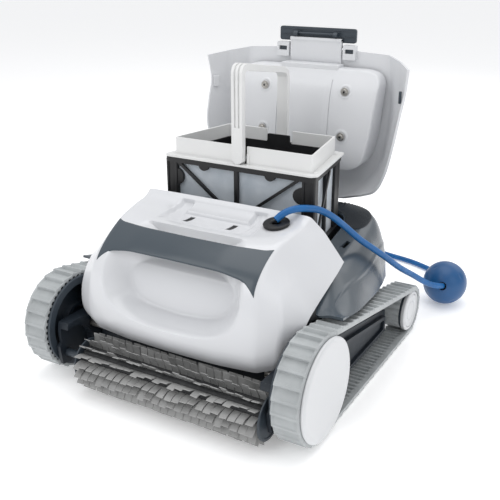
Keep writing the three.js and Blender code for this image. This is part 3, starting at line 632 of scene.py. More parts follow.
def make_tie():
    """Hook-and-loop strap round the coil, with its free end lapped over the top."""
    x, y = COIL["x"] - 72, COIL["y"]
    top = COIL["high"] + 1.8
    outer = rect(x - 24, x + 24, 0.1, top, 7, 8)
    inner = rect(x - 22.7, x + 22.7, 1.4, top - 1.3, 6, 8)
    band = prism(outer, y - 5, y + 5, "y", [inner])
    lap = prism(rect(x - 17, x + 10, top - 0.2, top + 1.1, 0.5), y - 4.6, y + 4.6, "y")
    return make("coil_strap", merge(band, lap), "chassis", "strap_black", ["coil_tie"], "black_plastic",
                bevel=0.25)


def make_gland():
    """Rubber grommet in the deck with a stepped flange round the cable."""
    r = GLAND["r"]
    profile = [(5.0, -10), (r - 3.4, -10), (r - 3.4, -1), (r, -0.8), (r + 0.2, 1.2), (r - 0.2, 1.8),
               (r - 1.2, 2.1), (7.4, 2.5), (6.6, 2.3), (5.6, 1.6), (4.9, 0.6), (4.6, -1), (4.5, -9),
               (5.0, -10)]
    gland = lathe(profile, "z", (0, 0), 72)
    turn = Matrix.Rotation(math.radians(GLAND["tilt"]), 4, "X")
    turn = turn @ Matrix.Rotation(math.radians(GLAND["roll"]), 4, "Y")
    place = Matrix.Translation((GLAND["x"], GLAND["y"], GLAND["z"] - 0.6))
    return make("deck_gland", moved(gland, place @ turn), "chassis", "black_plastic", ["cable_gland"],
                smooth=40)


# ---------- front hood ----------
HOOD_ROWS = [
    [[0, -156, 64.6], [60, -154.5, 64.6], [106, -149, 65], [125, -143, 71], [137, -131, 82]],
    [[0, -167, 84], [60, -164, 84], [108, -158, 83], [131, -148, 86], [143, -126, 94]],
    [[0, -165, 118], [60, -163, 118], [109, -157, 118], [133, -145, 114], [145, -119, 107]],
    [[0, -148, 168], [60, -147, 167], [104, -145, 158], [128, -130, 146], [146, -107, 119]],
    [[0, -114, 188.5], [60, -113, 188.5], [104, -105, 188], [118, -98, 165], [145, -86, 126]],
    [[0, -69, 192.5], [60, -69, 193], [107, -69, 197], [122, -62, 176], [145.5, -52, 139]],
    [[0, -42, 197.4], [60, -42, 197.4], [108, -45, 201], [123, -38, 184], [145, -30, 146]],
    [[0, -33, 206], [60, -33, 206], [110, -34, 206], [124, -26, 188], [144.5, -15, 152]],
]
DECK_SLOTS = (-29, 29)


def hood_grid():
    """The hood's outer surface, 190 rows from the front lip to the deck's back by 281 columns."""
    return refine([mirrored(row) for row in HOOD_ROWS], 190, 281, creased)


def scoop(x, y, z):
    """Depth of the soft bowl under the handle."""
    u = x / 92
    v = np.where(z > 142, (z - 142) / 60, (z - 142) / 47)
    spread = np.abs(u) ** 3.4 + np.abs(v) ** 2.2
    return np.where(y < -100, 29 * smoothstep((1 - spread) / 0.62), 0)


def deck_relief(x, y):
    """Height change of the deck: sunk middle between the shoulders, with a raised pad at its back."""
    edge = 66 - 0.12 * np.clip(y + 86, 0, 60)
    across = smoothstep((edge - np.abs(x)) / 5)
    along = smoothstep((y + 94) / 34)
    back = smoothstep((-36.5 - y) / 2.4)
    pad = smoothstep((44 - np.abs(x)) / 2) * smoothstep((y + 56) / 2) * back
    lane = smoothstep((x - 48) / 4) * across
    return -4.8 * across * along * back + 4.0 * pad + 1.4 * lane * along * back


def slot_well(surface, x):
    """Black inset of one deck slot, its top a little under the deck."""
    top = surface[surface.shape[0] // 2:]
    column = int(np.argmin(np.abs(top[..., 0].mean(0) - x)))
    line = top[:, column, 1:]
    line = line[np.argsort(line[:, 0])]
    ys = np.linspace(-78.3, -59.2, 8)
    zs = np.interp(ys, line[:, 0], line[:, 1]) - 0.7
    return prism(list(zip(ys, zs)) + list(zip(ys[::-1], zs[::-1] - 3)), x - 3.3, x + 3.3, "x")


def make_hood():
    grid = hood_grid()
    x, y, z = grid[..., 0], grid[..., 1], grid[..., 2]
    lift = -scoop(x, y, z) + np.where(z > 180, deck_relief(x, y), 0)
    raised = grid + grid_normals(grid) * lift[..., None]
    hood = make("hood_shell", shell(raised, 3.2), "chassis", "hood_white", ["front_hood"], smooth=50)
    slots = [block(s - 3.4, s + 3.4, -78.5, -59, 170, 210) for s in DECK_SLOTS]
    bore = prism(circle((GLAND["x"], GLAND["y"]), 13.2, 48), 180, 220, "z")
    notches = [block(s - 2.4, s + 2.4, -109.5, -106.0, 184, 194) for s in (-38, 24)]
    carve(hood, slots + [bore] + notches)
    make("deck_slot_wells", merge(*[slot_well(raised, s) for s in DECK_SLOTS]), "chassis", "black_plastic")


def surface_at(grid, row_share, column_share):
    """Point and normal of a grid at fractional places, by bilinear steps."""
    rows, columns = grid.shape[:2]
    r = np.clip(row_share * (rows - 1), 0, rows - 1.001)
    c = np.clip(column_share * (columns - 1), 0, columns - 1.001)
    i, j = r.astype(int), c.astype(int)
    fr, fc = (r - i)[..., None], (c - j)[..., None]
    normals = grid_normals(grid)

    def pick(table):
        top = table[i, j] * (1 - fc) + table[i, j + 1] * fc
        return top * (1 - fr) + (table[i + 1, j] * (1 - fc) + table[i + 1, j + 1] * fc) * fr

    return pick(grid), pick(normals)


def make_handle_band():
    """Carrying handle: a band flush with the hood that bridges the scoop, with horned lower corners."""
    grid = hood_grid()
    s = np.linspace(-1, 1, 161)[None, :]
    t = np.linspace(0, 1, 40)[:, None]
    horn = np.clip((np.abs(s) - 0.76) / 0.24, 0, 1)
    # The band's lower and upper edges, as shares of the hood's rows.
    low = 0.441 - 0.043 * horn**1.9
    high = 0.570 + 0.013 * np.clip((np.abs(s) - 0.86) / 0.14, 0, 1) ** 2
    row = low + (high - low) * t
    column = 0.5 + 0.247 * s + 0 * t
    point, normal = surface_at(grid, row, column)
    swell = 0.5 - 0.9 * np.clip(1 - t / 0.06, 0, 1) ** 2 - 0.9 * np.clip((t - 0.95) / 0.05, 0, 1) ** 2
    make("handle_band", shell(point + normal * swell[..., None], 3.4), "chassis", "slate_gloss",
         ["carry_handle"], bevel=0.5, smooth=50)


# ---------- belts ----------
def belt_path(count):
    """Even points round the belt's outer line, as (y, z), their outward normals, its length, their places."""
    span = math.hypot(REAR["y"] - FRONT["y"], REAR["z"] - FRONT["z"])
    along = math.atan2(REAR["z"] - FRONT["z"], REAR["y"] - FRONT["y"])
    lean = math.acos((FRONT["r"] - REAR["r"]) / span)
    a = np.linspace(along + lean, along - lean + 2 * math.pi, 400)
    b = np.linspace(along - lean, along + lean, 160)
    front, rear = (np.stack([w["y"] + w["r"] * np.cos(turn), w["z"] + w["r"] * np.sin(turn)], 1)
                   for w, turn in ((FRONT, a), (REAR, b)))
    loop = np.vstack([front, rear, front[:1]])
    where = np.concatenate([[0], np.cumsum(np.linalg.norm(np.diff(loop, axis=0), axis=1))])
    spots = np.linspace(0, where[-1], count, endpoint=False)
    path = np.stack([np.interp(spots, where, loop[:, k]) for k in (0, 1)], 1)
    ahead = np.roll(path, -1, 0) - np.roll(path, 1, 0)
    ahead /= np.linalg.norm(ahead, axis=1, keepdims=True)
    return path, np.stack([ahead[:, 1], -ahead[:, 0]], 1), where[-1], spots


LUG_PITCH = 15.96
EDGE_ROUND = 0.9


def tread_depth(share, x):
    """Depth below the rib tops: narrow ribs, with pockets that ramp up to the next rib."""
    rib = smoothstep((0.15 - np.minimum(share, 1 - share)) / 0.06)
    ramp = 1 - smoothstep((share - 0.15) / 0.85) * 0.7
    rim = smoothstep((x - 176.4) / 1.6)
    inside = smoothstep((152.0 - x) / 2.0)
    return 4.3 * ramp * (1 - rib) * (1 - 0.62 * rim) * (1 - 0.6 * inside)


def make_belts():
    path, normal, total, spots = belt_path(1440)
    lugs = round(total / LUG_PITCH)
    outer_x = np.array([149.0, 149.3, 150, 151, 152, 153, 155, 160, 165, 170, 173, 174, 175, 176, 177, 178,
                        179, 179.7, 180])
    edge = np.minimum(outer_x - BELT["inner"], BELT["outer"] - outer_x)
    inset = 1 - np.clip(edge / EDGE_ROUND, 0, 1)
    round_off = EDGE_ROUND * (1 - np.sqrt(np.clip(1 - inset**2, 0, 1)))
    inner_x = np.array([180.0, 177, 172, 170, 169, 160, 151, 150, 149])
    share = (spots / total * lugs) % 1
    tooth = (spots / total * lugs * 2) % 1
    depth = tread_depth(share[:, None], outer_x[None, :]) + round_off[None, :]
    bite = smoothstep((0.26 - np.abs(tooth[:, None] - 0.5)) / 0.08)
    zone = smoothstep((171.5 - inner_x[None, :]) / 1.5)
    offset = np.hstack([depth, BELT["thick"] - 2.6 * (1 - bite) * zone])
    points = np.zeros((*offset.shape, 3))
    points[..., 0] = np.concatenate([outer_x, inner_x])
    points[..., 1:] = path[:, None, :] - normal[:, None, :] * offset[..., None]
    at = np.arange(offset.size).reshape(offset.shape)
    right, down = np.roll(at, -1, 1), np.roll(at, -1, 0)
    faces = np.stack([at, right, np.roll(right, -1, 0), down], -1).reshape(-1, 4).tolist()
    make_pair("tread", (points.reshape(-1, 3), faces), "chassis", "track_rubber", "track_belt", smooth=60)


# ---------- wheels ----------
def make_wheel_pieces(wheel, body, rows):
    """Turned pieces of both wheels: name, profile, segments, ripple, look, CAD node, slot, smooth."""
    for word, sign in SIDES:
        for name, profile, segments, ripple, look, node, slot, smooth in rows:
            part = lathe(profile, "x", (wheel["y"], wheel["z"]), segments, ripple)
            make(f"{name}_{word}", on_side(part, sign), f"{body}_{word}", look,
                 [f"{node}_{word}"] if node else (), slot, smooth=smooth)


def make_front_wheels():
    """Hollow drum, inner flange and white disc; profiles are (radius, x)."""
    rim = FRONT["r"] - BELT["thick"] - RIM_GAP
    dish = [(5, 152), (14, 152), (16, 150.4), (20, 150.4), (22, 157), (rim - 12, 163), (rim - 9, 160),
            (rim - 7, 151.2), (rim - 1, 151.2), (rim, 152), (rim, 178.4), (rim - 1, 179), (5, 179), (5, 152)]
    ring = [(rim - 9, 148.2), (rim - 8, 145.6), (rim + 1.2, 145.2), (rim + 2, 146), (rim + 2, 147.6),
            (rim + 1, 148.4), (rim - 8, 148.4), (rim - 9, 148.2)]
    cap = [(0, 179.3), (rim, 179.3), (rim, 180.4), (rim + 2.2, 180.5), (rim + 2.7, 181.2),
           (rim + 2.8, 182.4), (rim + 2.3, 183.8), (rim + 0.6, 184.75), (rim - 2, 185.0), (rim - 5, 184.7),
           (30, 184.5), (0, 184.4)]
    make_wheel_pieces(FRONT, "front_wheel", (
        ("drive_wheel", dish, 96, None, "navy_plastic", "front_wheel", None, SMOOTH_ANGLE),
        ("flange_ring", ring, 96, None, "slate_matte", "wheel_flange", None, SMOOTH_ANGLE),
        ("wheel_disc", cap, 128, None, "wheel_white", "wheel_cap", None, 50)))


def make_rear_wheels():
    """Fluted drum, hub, rim ring and white disc; profiles are (radius, x)."""
    rim = REAR["r"] - BELT["thick"] - RIM_GAP
    drum = [(4, 148), (rim - 2.6, 148), (rim - 1.4, 149), (rim - 1.2, 169.4), (rim - 1.8, 170), (4, 170),
            (4, 148)]
    hub = [(4, 170.2), (rim - 3, 170.2), (rim - 2.6, 170.6), (rim - 2.6, 173.1), (rim - 3, 173.5),
           (4, 173.5), (4, 170.2)]
    ring = [(rim - 4.4, 173.8), (rim - 0.4, 173.8), (rim, 174.4), (rim, 177.8), (rim - 1.4, 179.2),
            (rim - 4, 179.4), (rim - 4.6, 178.4), (rim - 4.6, 174), (rim - 4.4, 173.8)]
    cap = [(0, 174), (rim - 5, 174), (rim - 5, 178.2), (rim - 5.6, 179.0), (rim - 6.6, 179.2),
           (rim - 7.2, 178.6), (rim - 8.4, 178.2), (14, 178.5), (13.4, 178.0), (12.6, 178.0), (12, 178.5),
           (0, 178.6)]

    def flutes(radius, angle, height):
        scallop = (0.5 + 0.5 * np.cos(angle * 18)) ** 2
        return np.where((height < 170.5) & (radius > 20), radius - 2.2 * scallop, radius)

    make_wheel_pieces(REAR, "rear_wheel", (
        ("idler_drum", drum, 180, flutes, "track_rubber", "rear_wheel", None, SMOOTH_ANGLE),
        ("idler_hub", hub, 96, None, "slate_matte", None, "track_rubber", SMOOTH_ANGLE),
        ("idler_ring", ring, 96, None, "wheel_white", "rear_cap", None, SMOOTH_ANGLE),
        ("idler_disc", cap, 96, None, "wheel_white", "rear_cap", None, SMOOTH_ANGLE)))


# ---------- brush ----------
BRUSH_ROWS = 16
BRUSH_TABS = 24
TAB_ROOT = 18.0


def brush_tab(angle, x, width, rng):
    """One flap of the brush: a thin tongue that leaves the sleeve and leans back."""
    reach = BRUSH["r"] - 0.2 - TAB_ROOT - rng.random() * 0.6
    lean = 0.2 + rng.uniform(-0.03, 0.03)
    curl = rng.uniform(-0.06, 0.08)
    twist = rng.uniform(-0.02, 0.02)
    verts, steps = [], 6
    for i in range(steps + 1):
        share = i / steps
        r = TAB_ROOT + reach * share
        a = angle + lean * share**1.2 + curl * share**2
        thick = 0.62 - 0.24 * share
        for side, dx in ((1, -width / 2), (1, width / 2), (-1, width / 2), (-1, -width / 2)):
            turn = a + side * thick / r + twist * share * dx / width
            verts.append([x + dx, BRUSH["y"] + r * math.cos(turn), BRUSH["z"] + r * math.sin(turn)])
    faces = [[0, 1, 2, 3], [4 * steps + k for k in (3, 2, 1, 0)]]
    for i in range(steps):
        for k in range(4):
            a, b = 4 * i + k, 4 * i + (k + 1) % 4
            faces.append([a, a + 4, b + 4, b])
    return verts, faces


def make_brush():
    rng = random.Random(7)
    axis = (BRUSH["y"], BRUSH["z"])
    low, high = BRUSH["left"] + 0.2, BRUSH["right"] - 0.2
    pitch = (high - low) / BRUSH_TABS
    tabs = []
    for row in range(BRUSH_ROWS):
        base = row / BRUSH_ROWS * 2 * math.pi
        shift = rng.uniform(-0.12, 0.12)
        for i in range(BRUSH_TABS):
            x = low + pitch * (i + 0.5 + shift * (0 < i < BRUSH_TABS - 1))
            tabs.append(brush_tab(base, x, pitch - 1.3, rng))
    make("brush_flaps", merge(*tabs), "brush", "brush_pvc", ["brush_sleeve"], smooth=40)
    sleeve = [(17.3, low), (19.2, low), (19.2, high), (17.3, high), (17.3, low)]

    def grooves(radius, angle, height):
        return np.where(radius > 18, radius - 0.6 * (0.5 + 0.5 * np.cos(angle * BRUSH_ROWS)), radius)

    make("brush_tube", lathe(sleeve, "x", axis, 144, grooves), "brush", "brush_root", ["brush_sleeve"],
         "brush_pvc")
    for word, sign in SIDES:
        end = BRUSH["right"] if sign > 0 else -BRUSH["left"]
        disc = [(r, end + out) for r, out in (
            (0, 0.4), (24.6, 0.4), (26, 0.9), (26, 2.5), (25, 3.0), (22.6, 3.0), (22, 2.4), (9, 2.4),
            (8, 3.0), (4.5, 3.1))] + [(4.5, 139.4), (3.8, 140), (0, 140)]
        make(f"brush_disc_{word}", on_side(lathe(disc, "x", axis, 80), sign), "brush",
             "slate_matte", [f"brush_end_{word}"])


# ---------- rear cover ----------
COVER_SKIRT = [[178, -90, 122], [177, -50, 112], [170, 0, 102], [161, 55, 91], [150, 108, 84],
               [133, 155, 74], [84, 186, 62], [0, 193, 56]]
COVER_FLANK = [[162, -92, 122], [156, -34, 126], [153, 4, 122], [147, 57, 115], [139, 112, 115],
               [126, 163, 112], [80, 190, 108], [0, 197, 106]]
COVER_SHOULDER = [[152, -93, 119.5], [136, -30, 139], [130, 2, 140], [127, 55, 141], [121, 108, 146],
                  [109, 158, 152], [66, 182, 152], [0, 186, 152]]
COVER_RIM = [[147.5, -92, 119], [114, -28, 141], [106.5, 2, 145], [99.5, 52, 149], [93, 100, 153],
             [80, 126, 157], [46, 140, 158], [0, 143, 158]]


def make_rear_cover():
    table = [wrapped(row) for row in (COVER_SKIRT, COVER_FLANK, COVER_SHOULDER, COVER_RIM)]
    grid = refine(table, 64, 281)
    rows = np.linspace(0, 1, grid.shape[0])[:, None]
    step = smoothstep((rows - 0.335) / 0.02) - smoothstep((rows - 0.375) / 0.02)
    y = grid[..., 1]
    raised = grid + grid_normals(grid) * (0.7 * step * (y > -70))[..., None]
    cover = make("cover_shell", shell(raised, 2.8), "chassis", "slate_gloss", ["rear_cover"], smooth=45)
    bay = block(-42, 42, 140, 170, 120, 175)
    hooks = [block(s * 117 - 2.6, s * 117 + 2.6, 44, 64, 130, 165) for s in (-1, 1)]
    carve(cover, [bay] + hooks)
    make_louvre_pads(grid)


def make_louvre_pads(grid):
    """Dark finned pads over the cover's shoulders, ridges fanned across them."""
    for word, span in (("right", (0.27, 0.438)), ("left", (0.73, 0.562))):
        s = np.linspace(0, 1, 361)[None, :]
        t = np.linspace(0, 1, 40)[:, None]
        bulge = np.sqrt(np.clip(1 - (2 * s - 1) ** 4, 0, 1))
        row = 0.985 - 0.31 * bulge * (1 - t)
        column = span[0] + (span[1] - span[0]) * s + 0 * t
        point, normal = surface_at(grid, row, column)
        fins = np.abs(np.sin((s + 0.22 * t) * math.pi * 30)) ** 0.6
        fins = fins * smoothstep(t / 0.08) * smoothstep((1 - t) / 0.05)
        pad = point + normal * (0.5 + 1.5 * fins)[..., None]
        pad = pad if word == "right" else pad[:, ::-1]
        make(f"louvre_pad_{word}", shell(pad, 2.2), "chassis", "navy_plastic", smooth=25)


def make_hinge():
    y, z = HINGE["y"], HINGE["z"]
    parts = [prism(rect(-41.5, 41.5, 141, 169, 3), 132, 135, "z")]
    ear = [(150, 134.5), (166, 134.5), (166, z), *half_ellipse((y, z), 8, 8, 14, 0.1), (150, z)]
    for x in (-20, 20):
        parts += [prism(ear, x - 4, x + 4, "x", [circle((y, z), 3.2, 24)]),
                  prism([(152, 135), (164, 135), (158, 143)], x - 6.5, x + 6.5, "x")]
    make("hinge_block", merge(*parts), "chassis", "navy_plastic", ["hinge_bracket"], bevel=0.4)
    pin = [(0, -36), (2.6, -36), (3, -35.6), (3, 34), (3.6, 34.2), (3.6, 35.6), (3.2, 36), (0, 36)]
    make("hinge_rod", lathe(pin, "x", (y, z), 32), "chassis", "steel", ["hinge_pin"])


# ---------- lid ----------
LID_ROWS = [
    [[0, 206.4, 357.5], [60, 206.4, 356.5], [104, 207.8, 354], [128, 185, 349.5], [147, 158, 344.5]],
    [[0, 208, 314], [60, 208, 314], [108, 207, 314], [130, 184, 313], [143.5, 161, 312]],
    [[0, 208, 284], [60, 208, 284], [110, 206, 283], [131, 179, 283], [142, 151, 285]],
    [[0, 207.8, 250], [60, 207.8, 250], [108, 204, 249], [129, 173, 249], [139.5, 142, 253]],
    [[0, 206, 214], [58, 206, 214], [102, 200, 213], [119, 174, 211], [128, 147, 209]],
    [[0, 200, 186], [52, 199, 186], [86, 191, 186], [103, 173, 184], [112, 157, 183]],
    [[0, 185, 157], [42, 183, 158], [62, 176, 162], [78, 169, 168], [92, 163, 173]],
]
# The inner panel: its outline as half a ring of (x, z), and how far forward its face stands, as (z, y).
LINER_EDGE = [[0, 204], [25, 204], [50, 204], [72, 206.5], [84, 213.5], [90, 224], [96.5, 251], [99.5, 280],
              [102, 309], [102, 321], [97, 330], [86, 334.5], [60, 335.6], [30, 336.5], [0, 337]]
LINER_FACE = [[190, 176], [211, 162], [251, 160.5], [309, 168], [330, 179], [350, 192]]
LINER_BACK = 200.6
SEAM = {"x": 38.5, "low": 236, "high": 322}  # the two upright seams of the face
WINDOWS = {"left": -49, "right": 49}  # dark windows in the front lip, by their x
SCREWS = [(-59, 168.7, 309), (59, 168.7, 309), (-59, 161.1, 251), (59, 161.1, 251)]


def make_lid():
    grid = refine([mirrored(row) for row in LID_ROWS], 110, 181, creased)
    make("lid_panel", shell(grid, 3.0), "lid", "inner_white", ["lid_shell"], "hood_white", smooth=45)
    side = [(199, 371), (199, 349), (204.6, 326), (206, 326), (206, 350), (202.2, 353), (202.2, 371)]
    parts = [prism(side, -37.5, 37.5, "x"), prism(rect(-37.5, 37.5, 367.6, 371.4, 0.8), 197.4, 202.2, "y")]
    for x in WINDOWS.values():
        frame_plan = rect(x - 9, x + 9, 345, 364, 1.5)
        parts += [prism(frame_plan, 198.5, 203, "y", [rect(x - 6, x + 6, 353, 358.6, 0.6)]),
                  prism(frame_plan, 203.2, 206.5, "y")]
    make("lid_front_lip", merge(*parts), "lid", "inner_white", slot="hood_white", bevel=0.5)
    # A small block on each lid wing: on the left a raised white square; on the right a thin dark slate block
    # that paints the shade inside the wing's slit.
    for word, sign, material, slot, half in (("left", -1, "inner_white", "hood_white", 4.0),
                                             ("right", 1, "slate_matte", "slate_matte", 1.6)):
        turn = Matrix.Rotation(math.radians(49.3 * -sign), 4, "Z")
        turn = Matrix.Translation((sign * 136, 163.2, 309)) @ turn
        wing_block = moved(block(-half, half, -2.2, 0.9, -7.6, 7.6), turn)
        make(f"lid_wing_block_and_slit_shade_{word}", wing_block, "lid", material, slot=slot, bevel=0.4)
    for word, x in WINDOWS.items():
        pane = block(x - 6.4, x + 6.4, 201.5, 203.1, 352.6, 359)
        make(f"lid_window_{word}", pane, "lid", "slate_matte", bevel=0.2)
    arm = rounded([(150, 139.5), (166, 139.5), (168, 152), (184, 168), (176, 174), (150, 154)], 4)
    bore = circle((HINGE["y"], HINGE["z"]), 3.3, 24)
    arms = [prism(arm, x - 4, x + 4, "x", [bore]) for x in (-30, 30)]
    make("lid_arms", merge(*arms), "lid", "inner_white", slot="hood_white", bevel=0.5)


def liner_face(x, z):
    """y of the inner panel's face: a raised middle, and a dished seat round each screw."""
    spine = catmull([[0, y, z_at] for z_at, y in LINER_FACE], 200)
    face = np.interp(z, spine[:, 2], spine[:, 1]) + 3 * (x / 100) ** 4
    face -= 0.7 * smoothstep((35 - np.abs(x)) / 7) * smoothstep((322 - z) / 10)
    for sx, _, sz in SCREWS:
        reach = np.hypot(x - sx, z - sz)
        face -= 0.8 * smoothstep((9.5 - reach) / 1.6) * smoothstep((reach - 5.5) / 1)
    return face


def make_liner():
    """Pillow shape: rings run from the back edge, round the rim and over the face to the middle line."""
    half = catmull([[x, z, 0] for x, z in LINER_EDGE], 260)[:, :2]
    ring = np.vstack([half, half[-2:0:-1] * (-1, 1)])
    middle = np.stack([0 * ring[:, 0], np.clip(ring[:, 1], 236, 300)], 1)
    inward = middle - ring
    span = np.linalg.norm(inward, axis=1, keepdims=True)
    inward /= span
    layers = []
    layers.append(np.stack([ring[:, 0], np.full(len(ring), LINER_BACK), ring[:, 1]], 1))
    for inset, back in ((0, 3.0), (0.35, 1.7), (1.0, 0.7), (2.0, 0.15), (3.0, 0)):
        flat = ring + inward * inset
        layers.append(np.stack([flat[:, 0], liner_face(flat[:, 0], flat[:, 1]) + back, flat[:, 1]], 1))
    for share in np.linspace(0, 1, 90)[1:]:
        flat = ring + inward * (3.0 + (span - 3.0) * share)
        layers.append(np.stack([flat[:, 0], liner_face(flat[:, 0], flat[:, 1]), flat[:, 1]], 1))
    count = len(ring)
    at = np.arange(len(layers) * count).reshape(len(layers), count)
    beside = np.roll(at, -1, 1)
    faces = np.stack([at[:-1], beside[:-1], beside[1:], at[1:]], -1).reshape(-1, 4).tolist()
    faces.append(list(range(count))[::-1])
    liner = make("lid_inner_panel", (np.vstack(layers), faces), "lid", "inner_white", ["lid_liner"],
                 "hood_white", smooth=60)
    heights = np.linspace(SEAM["low"], SEAM["high"], 40)
    depths = liner_face(np.full(40, SEAM["x"]), heights) + 1.0
    seam = [*zip(depths, heights), (150, SEAM["high"]), (150, SEAM["low"])]
    carve(liner, [prism(seam, s * SEAM["x"] - 0.55, s * SEAM["x"] + 0.55, "x") for s in (-1, 1)])
    tongue = prism(rounded([(-42, 333), (-42, 339.5), (42, 339.5), (42, 333)], 1.2), 181, LINER_BACK, "y")
    make("liner_tongue", tongue, "lid", "inner_white", slot="hood_white", bevel=0.8)


def make_screws():
    """Cross-slot screws on washers; profiles are (radius, depth from the screw's seat)."""
    washer = ((1.9, -2.4), (5.2, -2.4), (5.4, -2.6), (5.4, -3.0), (5.2, -3.2), (1.9, -3.2), (1.9, -2.4))
    head = ((0, -3.2), (3.6, -3.2), (3.7, -4.0), (3.1, -4.7), (1.2, -5.0), (0, -5.0))
    shank = ((0, -2.9), (1.8, -2.9), (1.8, 20), (1.2, 22), (0, 22))
    # The socket is a black disc at the middle of the head: painted shade of the recess in the screw's head.
    socket = ((0, -5.25), (1.5, -5.25), (1.6, -4.6), (0, -4.6))
    for i, (x, y, z) in enumerate(SCREWS, 1):
        turned = [lathe([(r, y + deep) for r, deep in profile], "y", (x, z), segments)
                  for profile, segments in ((washer, 40), (head, 40), (shank, 24), (socket, 6))]
        screw = make(f"screw_{i}", merge(*turned[:3]), "lid", "steel", [f"liner_screw_{i}"])
        for wide, tall in ((2.1, 0.4), (0.4, 2.1)):
            carve(screw, [block(x - wide, x + wide, y - 6, y - 4.1, z - tall, z + tall)])
        # Black disc over the head's middle, painting the shade in the cross recess.
        make(f"screw_socket_shade_{i}", turned[3], "lid", "black_plastic", slot="steel")


def make_latch():
    """Slate latch blade: rounded corners, fine ribs across its face and two hooks joined by a bar."""
    plan = rect(-56, 56, 366, 384.3, 3.5, 6)
    spine = [(203, 360.5), (204.6, 358.5), (207.6, 358.5), (207.6, 367), (203, 367)]
    parts = [prism(plan, 203.6, 207.8, "y"), prism(rounded(spine, 0.8), -36, 36, "x")]
    for z in (368.4, 373.0, 374.6, 381.4):
        parts.append(prism(rect(202.9, 204.6, z - 0.5, z + 0.5, 0.3), -54.6, 54.6, "x"))
    for x in (-29, 29):
        hook = [(204.6, 371.6), (204.6, 379.2), (197.4, 379.2), (194.8, 376.6), (195.4, 373.6),
                (198.4, 373.4), (199.4, 375.4)]
        parts += [prism(rounded(hook, 0.7), x - 3, x + 3, "x"),
                  block(x - 4.4, x + 4.4, 202.6, 205, 371.2, 379.8)]
    parts.append(lathe([(0, -29), (1.3, -29), (1.3, 29), (0, 29)], "x", (199.6, 376.6), 20))
    make("latch_blade", merge(*parts), "latch", "slate_matte", ["latch_flap"], "slate_gloss", bevel=0.35)


# ---------- filter basket ----------
PLAN = {"front": 94.6, "back": 77.3, "y0": 0.0, "y1": 101.4}
MIDDLE = -3.5  # the front face's centre post, braces and lugs sit a little to the left
SCREEN = {"low": 146, "high": 238}
FLAP_PIN = (84, 148)


def taper(grow, radius):
    """The basket's plan, grown on all sides, with its corners rounded."""
    front, back = PLAN["front"] + grow, PLAN["back"] + grow
    y0, y1 = PLAN["y0"] - grow, PLAN["y1"] + grow
    return rounded([(-front, y0), (front, y0), (back, y1), (-back, y1)], radius, True, 6)


FLANGE = [(-102, -8.5), (96.5, -8.5), (103, -2), (86.5, 110), (-87.5, 110), (-106.5, -4)]


def make_collar():
    low, top = BASKET["flange"], BASKET["top"]
    flange = prism(rounded(FLANGE, 4, True, 6), low, low + 2.4, "z", [taper(-2.5, 2)])
    make("collar_frame", flange, "basket", "ivory_plastic", ["basket_collar"], bevel=0.5)
    wall = prism(taper(0, 3), low + 1, top, "z", [taper(-2.4, 2)])
    walls = make("collar_wall", wall, "basket", "ivory_plastic")
    carve(walls, [block(-9, 9, -4, 4, low + 2.4, top + 5)])
    carve(walls, [prism(rect(-18.5, 18.5, 252, 280, 2.5), 96, 104, "y")])
    ease_edges(walls, 0.5, 2, 40)
    pivot = HANDLE["pivot"]
    tab = half_ellipse((-38, low + 3), 9.5, 15, 16)
    ear = [(-5, low), (5, low), (5, pivot + 2), (3, pivot + 5), (-3, pivot + 5), (-5, pivot + 2)]
    parts = [prism(ear, 0.2, 2.5, "y"), prism(ear, 99.5, 103.8, "y"), prism(tab, 5, 7.2, "y"),
             prism(rect(9.4, 12.4, low + 2, low + 15, 1), -1.6, 0.6, "y"),
             lathe([(0, -7.2), (1.7, -7.2), (2, -6.8), (2, 1), (0, 1)], "y", (0, pivot), 24),
             lathe([(0, 102), (2, 102), (2, 111.1), (1.7, 111.5), (0, 111.5)], "y", (0, pivot), 24)]
    make("collar_ears", merge(*parts), "basket", "ivory_plastic", bevel=0.3)
    z = low + 2.4
    rivet = [(0, z - 0.4), (2.6, z - 0.4), (2.6, z + 0.5), (1.9, z + 1.1), (0, z + 1.2)]
    heads = [lathe(rivet, "z", (s * x, y), 24) for s in (-1, 1) for x, y in ((97.0, 4), (82.2, 95))]
    make("collar_rivets", merge(*heads), "basket", "ivory_plastic")


def bar_between(a, b, width, y0, y1):
    """A straight (x, z) bar between two points."""
    along = np.array(b, float) - np.array(a, float)
    side = np.array([-along[1], along[0]]) / np.linalg.norm(along) * width / 2
    corners = [np.array(a) - side, np.array(b) - side, np.array(b) + side, np.array(a) + side]
    return prism([tuple(c) for c in corners], y0, y1, "y")


